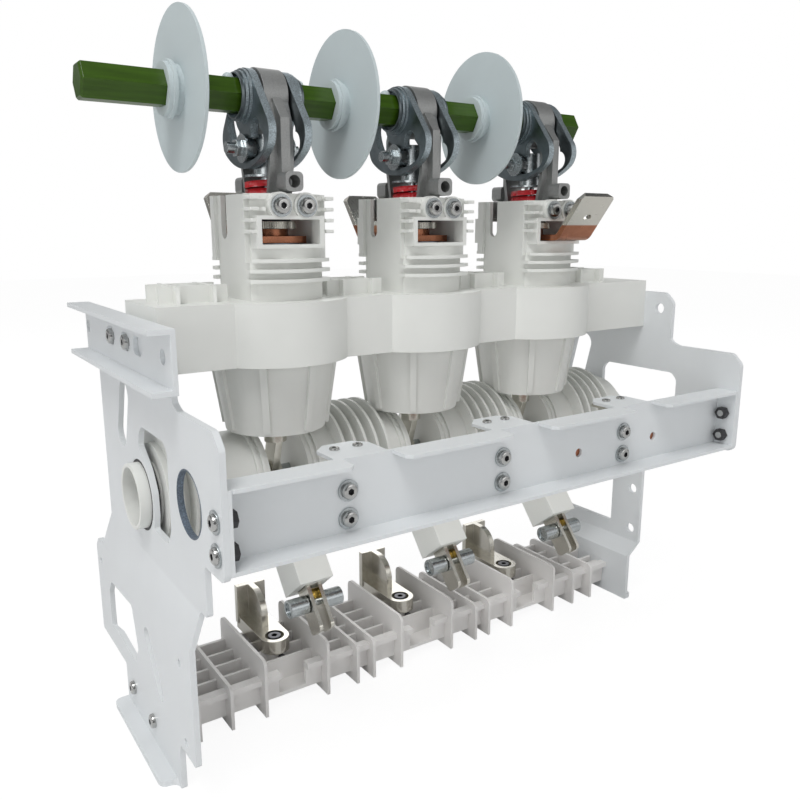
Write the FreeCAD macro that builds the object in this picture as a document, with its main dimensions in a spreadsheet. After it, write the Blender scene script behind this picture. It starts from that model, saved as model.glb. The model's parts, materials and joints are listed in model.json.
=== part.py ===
import FreeCAD, Part
import math
import os
import Sketcher

# Three-pole switch module: a vacuum breaker row on top, a three-position
# disconnector and earthing switch under it, between two sheet-metal side plates.
# Length unit millimetre. X runs along the main shaft, -Y is the front, Z is up.
# The foot plane is at height zero.

os.makedirs("parts", exist_ok=True)
doc = FreeCAD.newDocument("SwitchModule")
sheet = doc.addObject("Spreadsheet::Sheet", "Sizes")

ZERO_LIMIT = 1e-9


class Size:
    """A length or angle together with the sheet expression that gives it."""

    def __init__(self, text, value):
        self.text = text
        self.value = float(value)

    def __add__(self, other):
        return joined(self, "+", other)

    def __radd__(self, other):
        return joined(other, "+", self)

    def __sub__(self, other):
        return joined(self, "-", other)

    def __rsub__(self, other):
        return joined(other, "-", self)

    def __mul__(self, other):
        return joined(self, "*", other)

    def __rmul__(self, other):
        return joined(other, "*", self)

    def __truediv__(self, other):
        return joined(self, "/", other)

    def __neg__(self):
        return joined(0, "-", self)


def sized(item):
    if isinstance(item, Size):
        return item
    return Size(repr(float(item)), item)


def joined(left, sign, right):
    left = sized(left)
    right = sized(right)
    text = "(" + left.text + " " + sign + " " + right.text + ")"
    if sign == "+":
        value = left.value + right.value
    elif sign == "-":
        value = left.value - right.value
    elif sign == "*":
        value = left.value * right.value
    else:
        value = left.value / right.value
    return Size(text, value)


sheet_row = [1]


def size(name, value, note):
    """Writes one driving dimension into the sheet and gives its Size."""
    row = str(sheet_row[0])
    sheet.set("A" + row, name)
    sheet.set("B" + row, str(value))
    sheet.set("C" + row, note)
    sheet.setAlias("B" + row, name)
    sheet_row[0] += 1
    return Size("Sizes." + name, value)


NONE = sized(0)

# driving sizes
pole_pitch = size("PolePitch", 130, "distance between neighbouring pole axes")
shaft_height = size("ShaftHeight", 474, "shaft axis above the foot plane")
fit_gap = size("FitGap", 0.05, "radial running clearance of a bearing")
part_gap = size("PartGap", 0.4, "air between parts that move past each other")
touch_gap = size("TouchGap", 0.02, "clearance of parts that are clamped together")

hex_across = size("HexAcross", 22, "shaft hexagon across flats")
root_three = size("RootThree", 1.7320508, "hexagon corner factor")
shaft_left = size("ShaftLeft", -257.5, "left shaft end")
shaft_length = size("ShaftLength", 436, "shaft length")
shaft_chamfer = size("ShaftChamfer", 1.5, "shaft end chamfer")

disc_radius = size("DiscRadius", 53.3, "barrier disc radius")
disc_thick = size("DiscThick", 2.4, "barrier disc thickness")
disc_first = size("DiscFirst", -192.5, "left barrier disc")
disc_second = size("DiscSecond", -67, "middle barrier disc")
disc_third = size("DiscThird", 69, "right barrier disc")
disc_hub_radius = size("DiscHubRadius", 17.2, "disc hub radius")
disc_collar_radius = size("DiscCollarRadius", 18.8, "raised collar on the disc hub")
disc_neck_radius = size("DiscNeckRadius", 16.2, "neck between collar and disc")
disc_hub_reach = size("DiscHubReach", 11.5, "hub reach from the disc middle")
disc_step = size("DiscStep", 2.8, "length of one hub step")

cheek_inner = size("CheekInner", 10.6, "inner face of a cam cheek from the pole axis")
cheek_thick = size("CheekThick", 6, "cam cheek thickness")
cheek_hub_radius = size("CheekHubRadius", 19, "cam cheek radius round the shaft")
cheek_ring_step = size("CheekRingStep", 2.4, "axial length of one hub ring")
cheek_ring_drop = size("CheekRingDrop", 1.3, "radius drop from ring to ring")
cheek_mouth = size("CheekMouth", 14.6, "round mouth of the hub")
lobe_out = size("LobeOut", 26, "lobe centre beside the shaft axis")
lobe_down = size("LobeDown", 26, "lobe centre under the shaft axis")
lobe_radius = size("LobeRadius", 14.5, "lobe radius")
cheek_bottom = size("CheekBottom", 48.8, "lowest point of the cheek under the axis")
cam_rest = size("CamRest", 35, "drive pin under the shaft axis at rest")
cam_rate = size("CamRate", 0.14, "pin travel for one degree of shaft turn")
cam_front = size("CamFront", 38, "cam window end angle on the front side")
cam_back = size("CamBack", 62, "cam window end angle on the back side")
pocket_reach = size("PocketReach", 30, "middle of the front pocket from the axis")
pocket_radius = size("PocketRadius", 7.6, "radius of the front pocket of the window")

roller_radius = size("RollerRadius", 7.2, "drive pin roller radius")
pin_radius = size("PinRadius", 4, "drive pin radius")
pin_left = size("PinLeft", -31, "threaded tip of the drive pin")
pin_right = size("PinRight", 25, "domed end of the drive pin")
pin_washer_radius = size("PinWasherRadius", 10, "large washer on the drive pin")
pin_washer_thick = size("PinWasherThick", 1.6, "large washer thickness")
pin_nut_across = size("PinNutAcross", 11, "drive pin nut across flats")
pin_nut_height = size("PinNutHeight", 5, "drive pin nut height")

bush_radius = size("BushRadius", 16, "bearing bush radius on the shaft")
arch_half = size("ArchHalf", 9.3, "half width of the bearing bracket")
arch_radius = size("ArchRadius", 20, "bearing bracket cap radius")
leg_out = size("LegOut", 25.5, "outermost line of the bracket leg flange")
leg_foot = size("LegFoot", 21, "leg flange line at the tower top")
leg_thick = size("LegThick", 3.2, "leg flange thickness")
rib_half = size("RibHalf", 3.5, "half width of the bracket rib")
rib_out = size("RibOut", 32, "outer line of the bracket rib")
boss_half = size("BossHalf", 6.8, "half width of the threaded boss")
boss_out = size("BossOut", 44, "front face of the threaded boss")
boss_in = size("BossIn", 31, "back face of the threaded boss")
boss_height = size("BossHeight", 13.2, "height of the threaded boss")
corner_out = size("CornerOut", 31.5, "outer face of a tower corner wall")
corner_thick = size("CornerThick", 4, "thickness of a tower corner wall")
corner_front = size("CornerFront", 34, "front edge of a tower corner wall")
corner_back = size("CornerBack", 27, "back edge of a tower corner wall")
corner_low = size("CornerLow", 360, "bottom of a tower corner wall")
corner_reach = size("CornerReach", 44, "radius of the corner ribs")
corner_inner = size("CornerInner", 20, "inner end of a corner rib")
frame_in = size("FrameIn", 29, "back face of the window frame")
window_shift = size("WindowShift", -2.3, "window middle beside the pole axis")
boss_bore = size("BossBore", 4.3, "bore radius of the threaded boss")
foot_half = size("FootHalf", 17, "half width of the bracket foot")
foot_in = size("FootIn", 17.5, "inner face of the bracket foot")
foot_deep = size("FootDeep", 15, "height of the bracket foot inside the tower")
foot_out = size("FootOut", 31.2, "outer face of the bracket foot")

tower_top = size("TowerTop", 407, "tower top edge")
tower_half = size("TowerHalf", 28.5, "half width of a tower")
tower_radius = size("TowerRadius", 40, "tower front and back radius")
tower_wall = size("TowerWall", 3.6, "tower wall")
frame_out = size("FrameOut", 42, "front face of the window frame")
frame_half = size("FrameHalf", 25.8, "half width of the window frame")
window_half = size("WindowHalf", 22.3, "half width of the tower window")
window_low = size("WindowLow", 372.5, "lower edge of the tower window")
window_high = size("WindowHigh", 389.5, "upper edge of the tower window")
shed_radius = size("ShedRadius", 47, "tower shed radius")
shed_half = size("ShedHalf", 31.5, "half width of a tower shed")
shed_thick = size("ShedThick", 2.6, "tower shed thickness")
shed_low = size("ShedLow", 346, "lowest tower shed")
shed_pitch = size("ShedPitch", 7, "distance between tower sheds")
rib_low = size("RibLow", 380, "lowest corner rib")
rib_pitch = size("RibPitch", 7.6, "distance between corner ribs")
rib_thick = size("RibThick", 2.6, "corner rib thickness")
slot_half = size("SlotHalf", 5, "half width of the tower side slot")
slot_middle = size("SlotMiddle", 15.5, "tower side slot behind the pole axis")
slot_low = size("SlotLow", 376, "lower end of the tower side slot")
screw_side = size("ScrewSide", 9.8, "tower screw beside the pole axis")
screw_height = size("ScrewHeight", 398.8, "tower screw height")
hump_radius = size("HumpRadius", 9.2, "raised hump round a tower screw")

bar_top = size("BarTop", 333, "top face of the housing beam")
bar_low = size("BarLow", 288, "bottom face of the housing beam")
bar_half = size("BarHalf", 36, "half depth of the housing beam")
bulge_radius = size("BulgeRadius", 57.3, "bulge radius at a pole")
cup_top_radius = size("CupTopRadius", 46, "cup radius under the beam")
cup_low_radius = size("CupLowRadius", 38.2, "cup radius at its bottom")
cup_low = size("CupLow", 234, "cup bottom")
cup_rib_reach = size("CupRibReach", 2.8, "cup rib height")
cup_rib_half = size("CupRibHalf", 2.6, "half width of a cup rib")
cup_wall = size("CupWall", 4.5, "cup wall")
grid_height = size("GridHeight", 12, "height of the ribs on the housing beam")
grid_thick = size("GridThick", 2.6, "thickness of the ribs on the housing beam")
grid_side = size("GridSide", 13, "long rib in front of and behind the middle")

chamber_radius = size("ChamberRadius", 30, "vacuum chamber radius")
chamber_gap = size("ChamberGap", 1.5, "air round the vacuum chamber")
chamber_step = size("ChamberStep", 326, "end of the wide part of the chamber")
chamber_neck = size("ChamberNeck", 22, "radius of the chamber neck in the tower")
chamber_low = size("ChamberLow", 246, "vacuum chamber bottom")
chamber_top = size("ChamberTop", 372.96, "vacuum chamber top")
head_radius = size("HeadRadius", 9.8, "rod head radius")
plate_radius = size("PlateRadius", 17, "spring plate radius")
plate_thick = size("PlateThick", 1.6, "spring plate thickness")
rod_radius = size("RodRadius", 4.2, "contact rod radius")
rod_low = size("RodLow", 352, "lower end of the contact rod in the chamber")
seat_radius = size("SeatRadius", 16, "spring seat radius")
knurl_radius = size("KnurlRadius", 20, "knurled collar radius")
knurl_top = size("KnurlTop", 388.5, "top of the knurled collar")
collar_radius = size("CollarRadius", 14, "copper collar radius")
collar_top = size("CollarTop", 383, "top of the copper collar")
spring_top = size("SpringTop", 419.4, "spring plate underside")
spring_low = size("SpringLow", 392.5, "spring seat")
spring_radius = size("SpringRadius", 16.4, "contact spring outer radius")
spring_strip = size("SpringStrip", 4.6, "radial width of the spring strip")
spring_high = size("SpringHigh", 4.2, "height of the spring strip")
spring_turns = size("SpringTurns", 4, "number of spring turns")

bar_wide = size("BarWide", 18.8, "half width of a copper terminal")
copper_thick = size("CopperThick", 5, "copper terminal thickness")
copper_low = size("CopperLow", 373, "underside of the copper terminal")
copper_bend = size("CopperBend", 54, "start of the terminal bend")
tip_out = size("TipOut", 80, "terminal tip from the pole axis")
tip_high = size("TipHigh", 412, "terminal tip height")
copper_shift = size("CopperShift", 0.6, "terminal middle beside the pole axis")
bend_lead = size("BendLead", 2.4, "outer bend corner beyond the inner corner")
bend_in_round = size("BendInRound", 6, "inner radius of the terminal bend")
bend_out_round = size("BendOutRound", 11, "outer radius of the terminal bend")
tip_lead = size("TipLead", 4, "outer tip edge beyond the inner edge")
tip_drop = size("TipDrop", 3, "outer tip edge under the inner edge")
tip_hole = size("TipHole", 4.5, "terminal hole radius")
tip_round = size("TipRound", 5, "terminal corner")

sheet_thick = size("SheetThick", 4, "side plate thickness")
left_outer = size("LeftOuter", -232.5, "outer face of the left plate")
left_joggle = size("LeftJoggle", 9, "left plate joggle")
right_inner = size("RightInner", 257.5, "inner face of the right plate")
right_joggle = size("RightJoggle", 15, "right plate joggle")
plate_back = size("PlateBack", 112, "back edge of the plates")
plate_top = size("PlateTop", 322.5, "top edge of the plates")
plate_step = size("PlateStep", -69, "front edge of the narrow top part")
lobe_top = size("LobeTop", 273, "top edge of the front lobe")
lobe_front = size("LobeFront", -145.5, "front edge of the plates")
lobe_low = size("LobeLow", 183, "bottom edge of the front lobe")
left_waist = size("LeftWaist", -112, "left plate front edge under the lobe")
left_bend_top = size("LeftBendTop", 148, "upper bend of the left plate")
left_bend_low = size("LeftBendLow", 122, "lower bend of the left plate")
left_low_front = size("LeftLowFront", -100, "front edge of the lower left plate")
left_low_back = size("LeftLowBack", 137, "back edge of the lower left plate")
left_step_back = size("LeftStepBack", 65, "back end of the left foot")
left_step_high = size("LeftStepHigh", 33.5, "bottom edge behind the left foot")
left_foot_front = size("LeftFootFront", -66, "front end of the left foot")
left_nose_high = size("LeftNoseHigh", 38, "bottom edge of the left front nose")
right_waist = size("RightWaist", -47, "right plate front edge under the lobe")
right_bend_top = size("RightBendTop", 60, "upper bend of the right plate")
right_bend_low = size("RightBendLow", 48, "lower bend of the right plate")
foot_reach = size("FootReach", 12, "foot flange reach")
corner_big = size("CornerBig", 9, "large plate corner")
corner_small = size("CornerSmall", 4, "small plate corner")

rotor_y = size("RotorY", 15, "disconnector axis behind the shaft axis")
rotor_z = size("RotorZ", 192, "disconnector axis height")
ring_radius = size("RingRadius", 24.5, "hollow rotor end radius")
ring_wall = size("RingWall", 3, "hollow rotor end wall")
ring_reach = size("RingReach", 8, "rotor end beyond the left plate")
drum_radius = size("DrumRadius", 37.5, "rotor drum radius")
drum_wall = size("DrumWall", 3, "rotor drum wall")
rim_radius = size("RimRadius", 39.6, "low rim radius near a pole")
disc_rim_radius = size("DiscRimRadius", 50, "tall rim radius between the poles")
rim_thick = size("RimThick", 2.6, "rim thickness")
rim_pitch = size("RimPitch", 10, "distance between rims")
pole_gap = size("PoleGap", 16, "half width of the rotor gap at a pole")
arm_angle = size("ArmAngle", -39.3, "knife direction at rest")
arm_half = size("ArmHalf", 18, "half width of a knife arm")
arm_wall = size("ArmWall", 3.2, "knife arm wall")
arm_deep = size("ArmDeep", 17, "half depth of a knife arm")
arm_start = size("ArmStart", 26, "inner end of a knife arm")
arm_step = size("ArmStep", 62, "step between the wide and the narrow arm")
arm_tip = size("ArmTip", 14, "half width of the narrow arm")
ridge_pitch = size("RidgePitch", 5, "distance between the low ridges")
arm_end = size("ArmEnd", 99, "outer end of a knife arm")

blade_inner = size("BladeInner", 3.3, "inner face of a knife blade")
blade_thick = size("BladeThick", 3, "knife blade thickness")
blade_half = size("BladeHalf", 9, "half width of a knife blade")
blade_reach = size("BladeReach", 134, "knife blade reach")
barrel_at = size("BarrelAt", 111, "clamp barrel from the rotor axis")
barrel_radius = size("BarrelRadius", 6.9, "clamp barrel radius")
barrel_end = size("BarrelEnd", 22, "outer end of a clamp barrel")
bolt_radius = size("BoltRadius", 3, "clamp and pivot rod radius")
pivot_radius = size("PivotRadius", 4, "knife pivot bolt radius")
tongue_half = size("TongueHalf", 3, "half thickness of the lower terminal tongue")
terminal_y = size("TerminalY", 4, "lower terminal behind the pole axis")
tongue_wide = size("TongueWide", 8.7, "half width of the tongue at the axis")
knife_shift = size("KnifeShift", 1, "knife middle beside the pole axis")
terminal_radius = size("TerminalRadius", 8.8, "lower terminal radius")
terminal_low = size("TerminalLow", 220, "end of the round lower terminal")

beam_face = size("BeamFace", -127, "front face of the beam web")
beam_thick = size("BeamThick", 2.5, "beam sheet thickness")
beam_top = size("BeamTop", 239.5, "top of the beam")
beam_low = size("BeamLow", 187, "bottom of the beam")
beam_tab_left = size("BeamTabLeft", -20.3, "left end of a back tab from the pole")
beam_tab_right = size("BeamTabRight", 20.3, "right end of a back tab from the pole")
beam_tab_back = size("BeamTabBack", -92, "back edge of a back tab")
beam_screw_x = size("BeamScrewX", -12, "beam screws beside the pole axis")
beam_screw_high = size("BeamScrewHigh", 218, "upper beam screw")
beam_screw_low = size("BeamScrewLow", 199, "lower beam screw")
beam_bolt_y = size("BeamBoltY", -134.5, "end bolts of the beam")
beam_bolt_high = size("BeamBoltHigh", 218.5, "upper end bolt")
beam_bolt_low = size("BeamBoltLow", 198, "lower end bolt")
tab_screw_y = size("TabScrewY", -105, "screws in the back tabs")
tab_screw_side = size("TabScrewSide", 9, "half distance of the tab screws")
peep_radius = size("PeepRadius", 3.6, "small hole in the beam web")
peep_height = size("PeepHeight", 208, "height of the small holes")
earth_thick = size("EarthThick", 3, "earth bar thickness")
earth_low = size("EarthLow", 193, "lower edge of the earth bar")
earth_high = size("EarthHigh", 213.5, "upper edge of the earth bar")

head_m6 = size("HeadMSix", 5.4, "button head radius")
head_m6_high = size("HeadMSixHigh", 3.4, "button head height")
washer_m6 = size("WasherMSix", 7.4, "washer radius")
washer_m6_thick = size("WasherMSixThick", 1.4, "washer thickness")
shank_m6 = size("ShankMSix", 3, "screw shank radius")
nut_m6_across = size("NutMSixAcross", 10, "nut across flats")
nut_m6_high = size("NutMSixHigh", 6, "nut height")
head_tower = size("HeadTower", 5.8, "tower screw head radius")
washer_tower = size("WasherTower", 7.8, "tower screw washer radius")

channel_thick = size("ChannelThick", 3.5, "top bracket sheet thickness")
channel_reach = size("ChannelReach", 17, "top bracket flange reach")
channel_front = size("ChannelFront", -85, "front end of the top bracket")
channel_back = size("ChannelBack", 129, "back end of the top bracket")
channel_low = size("ChannelLow", 284, "lower edge of the top bracket")
channel_top = size("ChannelTop", 325, "upper edge of the top bracket")
channel_hole = size("ChannelHole", 5, "end hole radius of the top bracket")
channel_hole_front = size("ChannelHoleFront", -68, "front hole of the top bracket")
channel_hole_back = size("ChannelHoleBack", 122, "back hole of the top bracket")
channel_screw_first = size("ChannelScrewFirst", 50, "back screw of the top bracket")
channel_screw_pitch = size("ChannelScrewPitch", 39, "slot distance of the top bracket")
channel_screw_high = size("ChannelScrewHigh", 306, "screw height of the top bracket")
channel_slot_third = size("ChannelSlotThird", -18, "front slot of the top bracket")
channel_slot_half = size("ChannelSlotHalf", 6.5, "half height of the slots")
channel_slot_reach = size("ChannelSlotReach", 8, "distance of the slot end centres")

trough_front = size("TroughFront", -15, "front face of the lower insulator")
trough_back = size("TroughBack", 60, "back face of the lower insulator")
trough_low = size("TroughLow", 9, "underside of the lower insulator")
trough_top = size("TroughTop", 27, "upper edge of the lower insulator")
trough_wall = size("TroughWall", 3, "lower insulator wall")
fin_front = size("FinFront", -26, "front edge of the fins")
fin_back = size("FinBack", 66, "back edge of the fins")
fin_low = size("FinLow", 2, "bottom edge of the fins")
fin_tall = size("FinTall", 51, "top edge of a tall fin")
fin_short = size("FinShort", 38, "top edge of a short fin")
fin_thick = size("FinThick", 2.6, "fin thickness")
fin_tall_side = size("FinTallSide", 28, "tall fin beside the pole")
fin_short_side = size("FinShortSide", 56.8, "short fin beside the pole")
fin_end_side = size("FinEndSide", 83, "end fin beside the outer pole")
ledge_reach = size("LedgeReach", 5, "ledge in front of the insulator wall")
ledge_high = size("LedgeHigh", 5, "ledge height")
seat_high = size("SeatHigh", 32, "seat of the fixed contact")
contact_thick = size("ContactThick", 12, "fixed contact base thickness")
contact_round = size("ContactRound", 12.5, "fixed contact base radius")
contact_bolt_y = size("ContactBoltY", 20, "fixed contact bolt")
contact_back = size("ContactBack", 72, "back face of the fixed contact")
contact_flange = size("ContactFlange", 5.5, "fixed contact flange thickness")
contact_half = size("ContactHalf", 13.5, "half width of the fixed contact flange")
contact_rib = size("ContactRib", 2.9, "half thickness of the fixed contact rib")
contact_rib_front = size("ContactRibFront", 38, "front edge of the fixed contact rib")
contact_top = size("ContactTop", 73, "top of the fixed contact")
contact_round_top = size("ContactRoundTop", 20, "quarter round of the contact rib")

beam_middle = size("BeamMiddle", 4.8, "middle back tab of the beam")
beam_pitch = size("BeamPitch", 132.8, "distance between the back tabs")
flange_stop = size("FlangeStop", -15.5, "end of a front flange beside a tab middle")
flange_start = size("FlangeStart", 23, "start of a front flange beside a tab middle")
peep_first = size("PeepFirst", 74, "first small hole in the beam web")
peep_second = size("PeepSecond", 165, "second small hole in the beam web")
finger_half = size("FingerHalf", 2.9, "half thickness of an earth finger")
finger_wide = size("FingerWide", 12, "half width of an earth finger base")
finger_front = size("FingerFront", -112, "front face of an earth finger")
finger_back = size("FingerBack", -97, "back face of an earth finger")
finger_low = size("FingerLow", 217, "lower end of an earth finger")
finger_base = size("FingerBase", 2.4, "thickness of an earth finger base")
bush_wall = size("BushWall", 2.2, "rotor bush wall")
bush_flange = size("BushFlange", 1.6, "rotor bush flange thickness")
port_y = size("PortY", -90, "round port of the left plate")
port_z = size("PortZ", 216, "round port height")
port_radius = size("PortRadius", 22.5, "round port radius")
ins_screw_back = size("InsScrewBack", 44, "back screw of the lower insulator")
ins_screw_low = size("InsScrewLow", 22, "back screw height of the lower insulator")
ins_screw_front = size("InsScrewFront", -7, "front screw of the lower insulator")
ins_screw_high = size("InsScrewHigh", 21, "front screw height of the lower insulator")
ins_screw_deep = size("InsScrewDeep", 16, "screw boss depth of the lower insulator")
seat_post = size("SeatPost", 9, "radius of the post under the contact bolt")
seat_web = size("SeatWeb", 4, "half width of the web under a fixed contact")
seat_back = size("SeatBack", 24, "back cross rib in front of the contact flange")
ladder_first = size("LadderFirst", 4, "first long rib inside the lower insulator")
ladder_pitch = size("LadderPitch", 18, "distance of the long ribs")
ladder_high = size("LadderHigh", 31, "top edge of the long ribs")
notch_half = size("NotchHalf", 12, "half width of the front notch")
contact_sink = size("ContactSink", 8, "recess round the contact bolt")
rotor_left = size("RotorLeft", -224, "left end of the rotor drum")
rotor_right = size("RotorRight", 252, "right end of the rotor drum")
rim_left = size("RimLeft", -204, "middle of the left rim set")
rim_second = size("RimSecond", -66, "middle of the second rim set")
rim_third = size("RimThird", 66, "middle of the third rim set")
rim_right = size("RimRight", 200, "middle of the right rim set")
barrel_start = size("BarrelStart", 7, "inner end of a clamp barrel")
strap_back = size("StrapBack", 22, "inner end of a copper terminal")
lean_shift = size("LeanShift", 0, "bolt hole above the middle of the leaning plate")

socket_across = size("SocketAcross", 4, "hexagon socket of the screws")
contact_grip = size("ContactGrip", 12, "thread of the contact bolt in the insulator")
port_deep = size("PortDeep", 6, "depth of the port grommet")
port_lip = size("PortLip", 2, "lip of the port grommet")

# the whole module is centred on its overall box
mid_x = (right_inner + sheet_thick + touch_gap + head_m6_high + shaft_left) / 2
mid_y = (lobe_front + left_low_back) / 2
hex_corner = hex_across / root_three
left_inner = left_outer + sheet_thick
right_outer = right_inner + sheet_thick
left_low_outer = left_outer - left_joggle
left_low_inner = left_low_outer + sheet_thick
right_low_inner = right_inner - right_joggle
right_low_outer = right_low_inner + sheet_thick
poles = (-pole_pitch, NONE, pole_pitch)

exports = []


# helpers
def bind(item, prop, value):
    item.setExpression(prop, sized(value).text)


def place(item, x=NONE, y=NONE, z=NONE):
    """Sets the placement of a finished sub-part in the centred frame."""
    bind(item, "Placement.Base.x", x - mid_x)
    bind(item, "Placement.Base.y", y - mid_y)
    bind(item, "Placement.Base.z", z)


def finish(item, label, x=NONE, y=NONE, z=NONE):
    item.Label = label
    place(item, x, y, z)
    exports.append(item)
    return item


def box(x0, x1, y0, y1, z0, z1):
    item = doc.addObject("Part::Box", "Block")
    bind(item, "Length", sized(x1) - x0)
    bind(item, "Width", sized(y1) - y0)
    bind(item, "Height", sized(z1) - z0)
    bind(item, "Placement.Base.x", x0)
    bind(item, "Placement.Base.y", y0)
    bind(item, "Placement.Base.z", z0)
    return item


AXIS_TURN = {
    "Z": FreeCAD.Rotation(FreeCAD.Vector(0, 0, 1), 0),
    "X": FreeCAD.Rotation(FreeCAD.Vector(0, 1, 0), 90),
    "Y": FreeCAD.Rotation(FreeCAD.Vector(1, 0, 0), -90),
}


def cylinder(radius, length, x, y, z, axis):
    item = doc.addObject("Part::Cylinder", "Round")
    bind(item, "Radius", radius)
    bind(item, "Height", length)
    item.Placement = FreeCAD.Placement(FreeCAD.Vector(), AXIS_TURN[axis])
    bind(item, "Placement.Base.x", x)
    bind(item, "Placement.Base.y", y)
    bind(item, "Placement.Base.z", z)
    return item


def cone(low_radius, top_radius, length, x, y, z):
    item = doc.addObject("Part::Cone", "Taper")
    bind(item, "Radius1", low_radius)
    bind(item, "Radius2", top_radius)
    bind(item, "Height", length)
    bind(item, "Placement.Base.x", x)
    bind(item, "Placement.Base.y", y)
    bind(item, "Placement.Base.z", z)
    return item


def prism(across, length, x, y, z, axis):
    """A hexagonal prism given by its width across flats."""
    item = doc.addObject("Part::Prism", "Hex")
    item.Polygon = 6
    bind(item, "Circumradius", sized(across) / root_three)
    bind(item, "Height", length)
    corner_turn = FreeCAD.Rotation(FreeCAD.Vector(0, 0, 1), 90)
    item.Placement = FreeCAD.Placement(FreeCAD.Vector(), AXIS_TURN[axis] * corner_turn)
    bind(item, "Placement.Base.x", x)
    bind(item, "Placement.Base.y", y)
    bind(item, "Placement.Base.z", z)
    return item


def fuse(items):
    item = doc.addObject("Part::MultiFuse", "Union")
    item.Shapes = items
    return item


def cut(base, tool):
    item = doc.addObject("Part::Cut", "Cut")
    item.Base = base
    item.Tool = tool
    return item


def common(items):
    item = doc.addObject("Part::MultiCommon", "Shared")
    item.Shapes = items
    return item


def group(items):
    item = doc.addObject("Part::Compound", "Group")
    item.Links = items
    return item


def new_body(label):
    item = doc.addObject("PartDesign::Body", label)
    item.Label = label
    return item


def origin_plane(body, role):
    for feature in body.Origin.OriginFeatures:
        if feature.Role == role:
            return feature
    raise RuntimeError("no plane " + role)


def new_sketch(body, role, offset=None):
    item = body.newObject("Sketcher::SketchObject", "Sketch")
    item.AttachmentSupport = [(origin_plane(body, role), "")]
    item.MapMode = "FlatFace"
    if offset is not None:
        bind(item, "AttachmentOffset.Base.z", offset)
    return item


def pin(sketch, element, point, kind, value):
    """Ties one point of a sketch to the origin by a bound distance."""
    if abs(value.value) < ZERO_LIMIT:
        axis = -2 if kind == "DistanceX" else -1
        sketch.addConstraint(Sketcher.Constraint("PointOnObject", element, point, axis))
        return
    index = sketch.addConstraint(
        Sketcher.Constraint(kind, -1, 1, element, point, value.value))
    bind(sketch, "Constraints[" + str(index) + "]", value)


def polygon(sketch, points):
    points = [(sized(a), sized(b)) for a, b in points]
    corners = [FreeCAD.Vector(a.value, b.value, 0) for a, b in points]
    first = sketch.GeometryCount
    count = len(points)
    for index in range(count):
        line = Part.LineSegment(corners[index], corners[(index + 1) % count])
        sketch.addGeometry(line, False)
    for index in range(count):
        follower = first + (index + 1) % count
        sketch.addConstraint(
            Sketcher.Constraint("Coincident", first + index, 2, follower, 1))
    for index, (a, b) in enumerate(points):
        pin(sketch, first + index, 1, "DistanceX", a)
        pin(sketch, first + index, 1, "DistanceY", b)


def ring(sketch, a, b, radius):
    a = sized(a)
    b = sized(b)
    radius = sized(radius)
    centre = FreeCAD.Vector(a.value, b.value, 0)
    element = sketch.addGeometry(
        Part.Circle(centre, FreeCAD.Vector(0, 0, 1), radius.value), False)
    pin(sketch, element, 3, "DistanceX", a)
    pin(sketch, element, 3, "DistanceY", b)
    index = sketch.addConstraint(Sketcher.Constraint("Radius", element, radius.value))
    bind(sketch, "Constraints[" + str(index) + "]", radius)


def long_hole(sketch, a0, b0, a1, b1, radius):
    """A slot with round ends between two centres."""
    ends = [(sized(a0), sized(b0)), (sized(a1), sized(b1))]
    radius = sized(radius)
    start = FreeCAD.Vector(ends[0][0].value, ends[0][1].value, 0)
    stop = FreeCAD.Vector(ends[1][0].value, ends[1][1].value, 0)
    along = math.atan2(stop.y - start.y, stop.x - start.x)
    up = FreeCAD.Vector(0, 0, 1)
    side = FreeCAD.Vector(-math.sin(along), math.cos(along), 0) * radius.value
    arc_a = sketch.addGeometry(Part.ArcOfCircle(
        Part.Circle(start, up, radius.value),
        along + math.pi / 2, along + 3 * math.pi / 2), False)
    arc_b = sketch.addGeometry(Part.ArcOfCircle(
        Part.Circle(stop, up, radius.value),
        along - math.pi / 2, along + math.pi / 2), False)
    low = sketch.addGeometry(Part.LineSegment(start - side, stop - side), False)
    high = sketch.addGeometry(Part.LineSegment(stop + side, start + side), False)
    for first, first_point, second, second_point in (
            (arc_a, 2, low, 1), (low, 2, arc_b, 1),
            (arc_b, 2, high, 1), (high, 2, arc_a, 1)):
        sketch.addConstraint(Sketcher.Constraint(
            "Tangent", first, first_point, second, second_point))
    for element, (a, b) in zip((arc_a, arc_b), ends):
        pin(sketch, element, 3, "DistanceX", a)
        pin(sketch, element, 3, "DistanceY", b)
    index = sketch.addConstraint(Sketcher.Constraint("Radius", arc_a, radius.value))
    bind(sketch, "Constraints[" + str(index) + "]", radius)


def pad(body, sketch, length, backwards=False):
    item = body.newObject("PartDesign::Pad", "Pad")
    item.Profile = sketch
    bind(item, "Length", length)
    item.Reversed = backwards
    sketch.Visibility = False
    return item


def pocket(body, sketch, length, backwards=False):
    """Cuts a sketch into the body and makes sure that something was cut."""
    doc.recompute()
    before = body.Tip.Shape.Volume
    item = body.newObject("PartDesign::Pocket", "Pocket")
    item.Profile = sketch
    bind(item, "Length", length)
    item.Reversed = backwards
    doc.recompute()
    if item.Shape.Volume > before - ZERO_LIMIT:
        raise RuntimeError("pocket cut nothing in " + body.Label)
    return item


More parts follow.
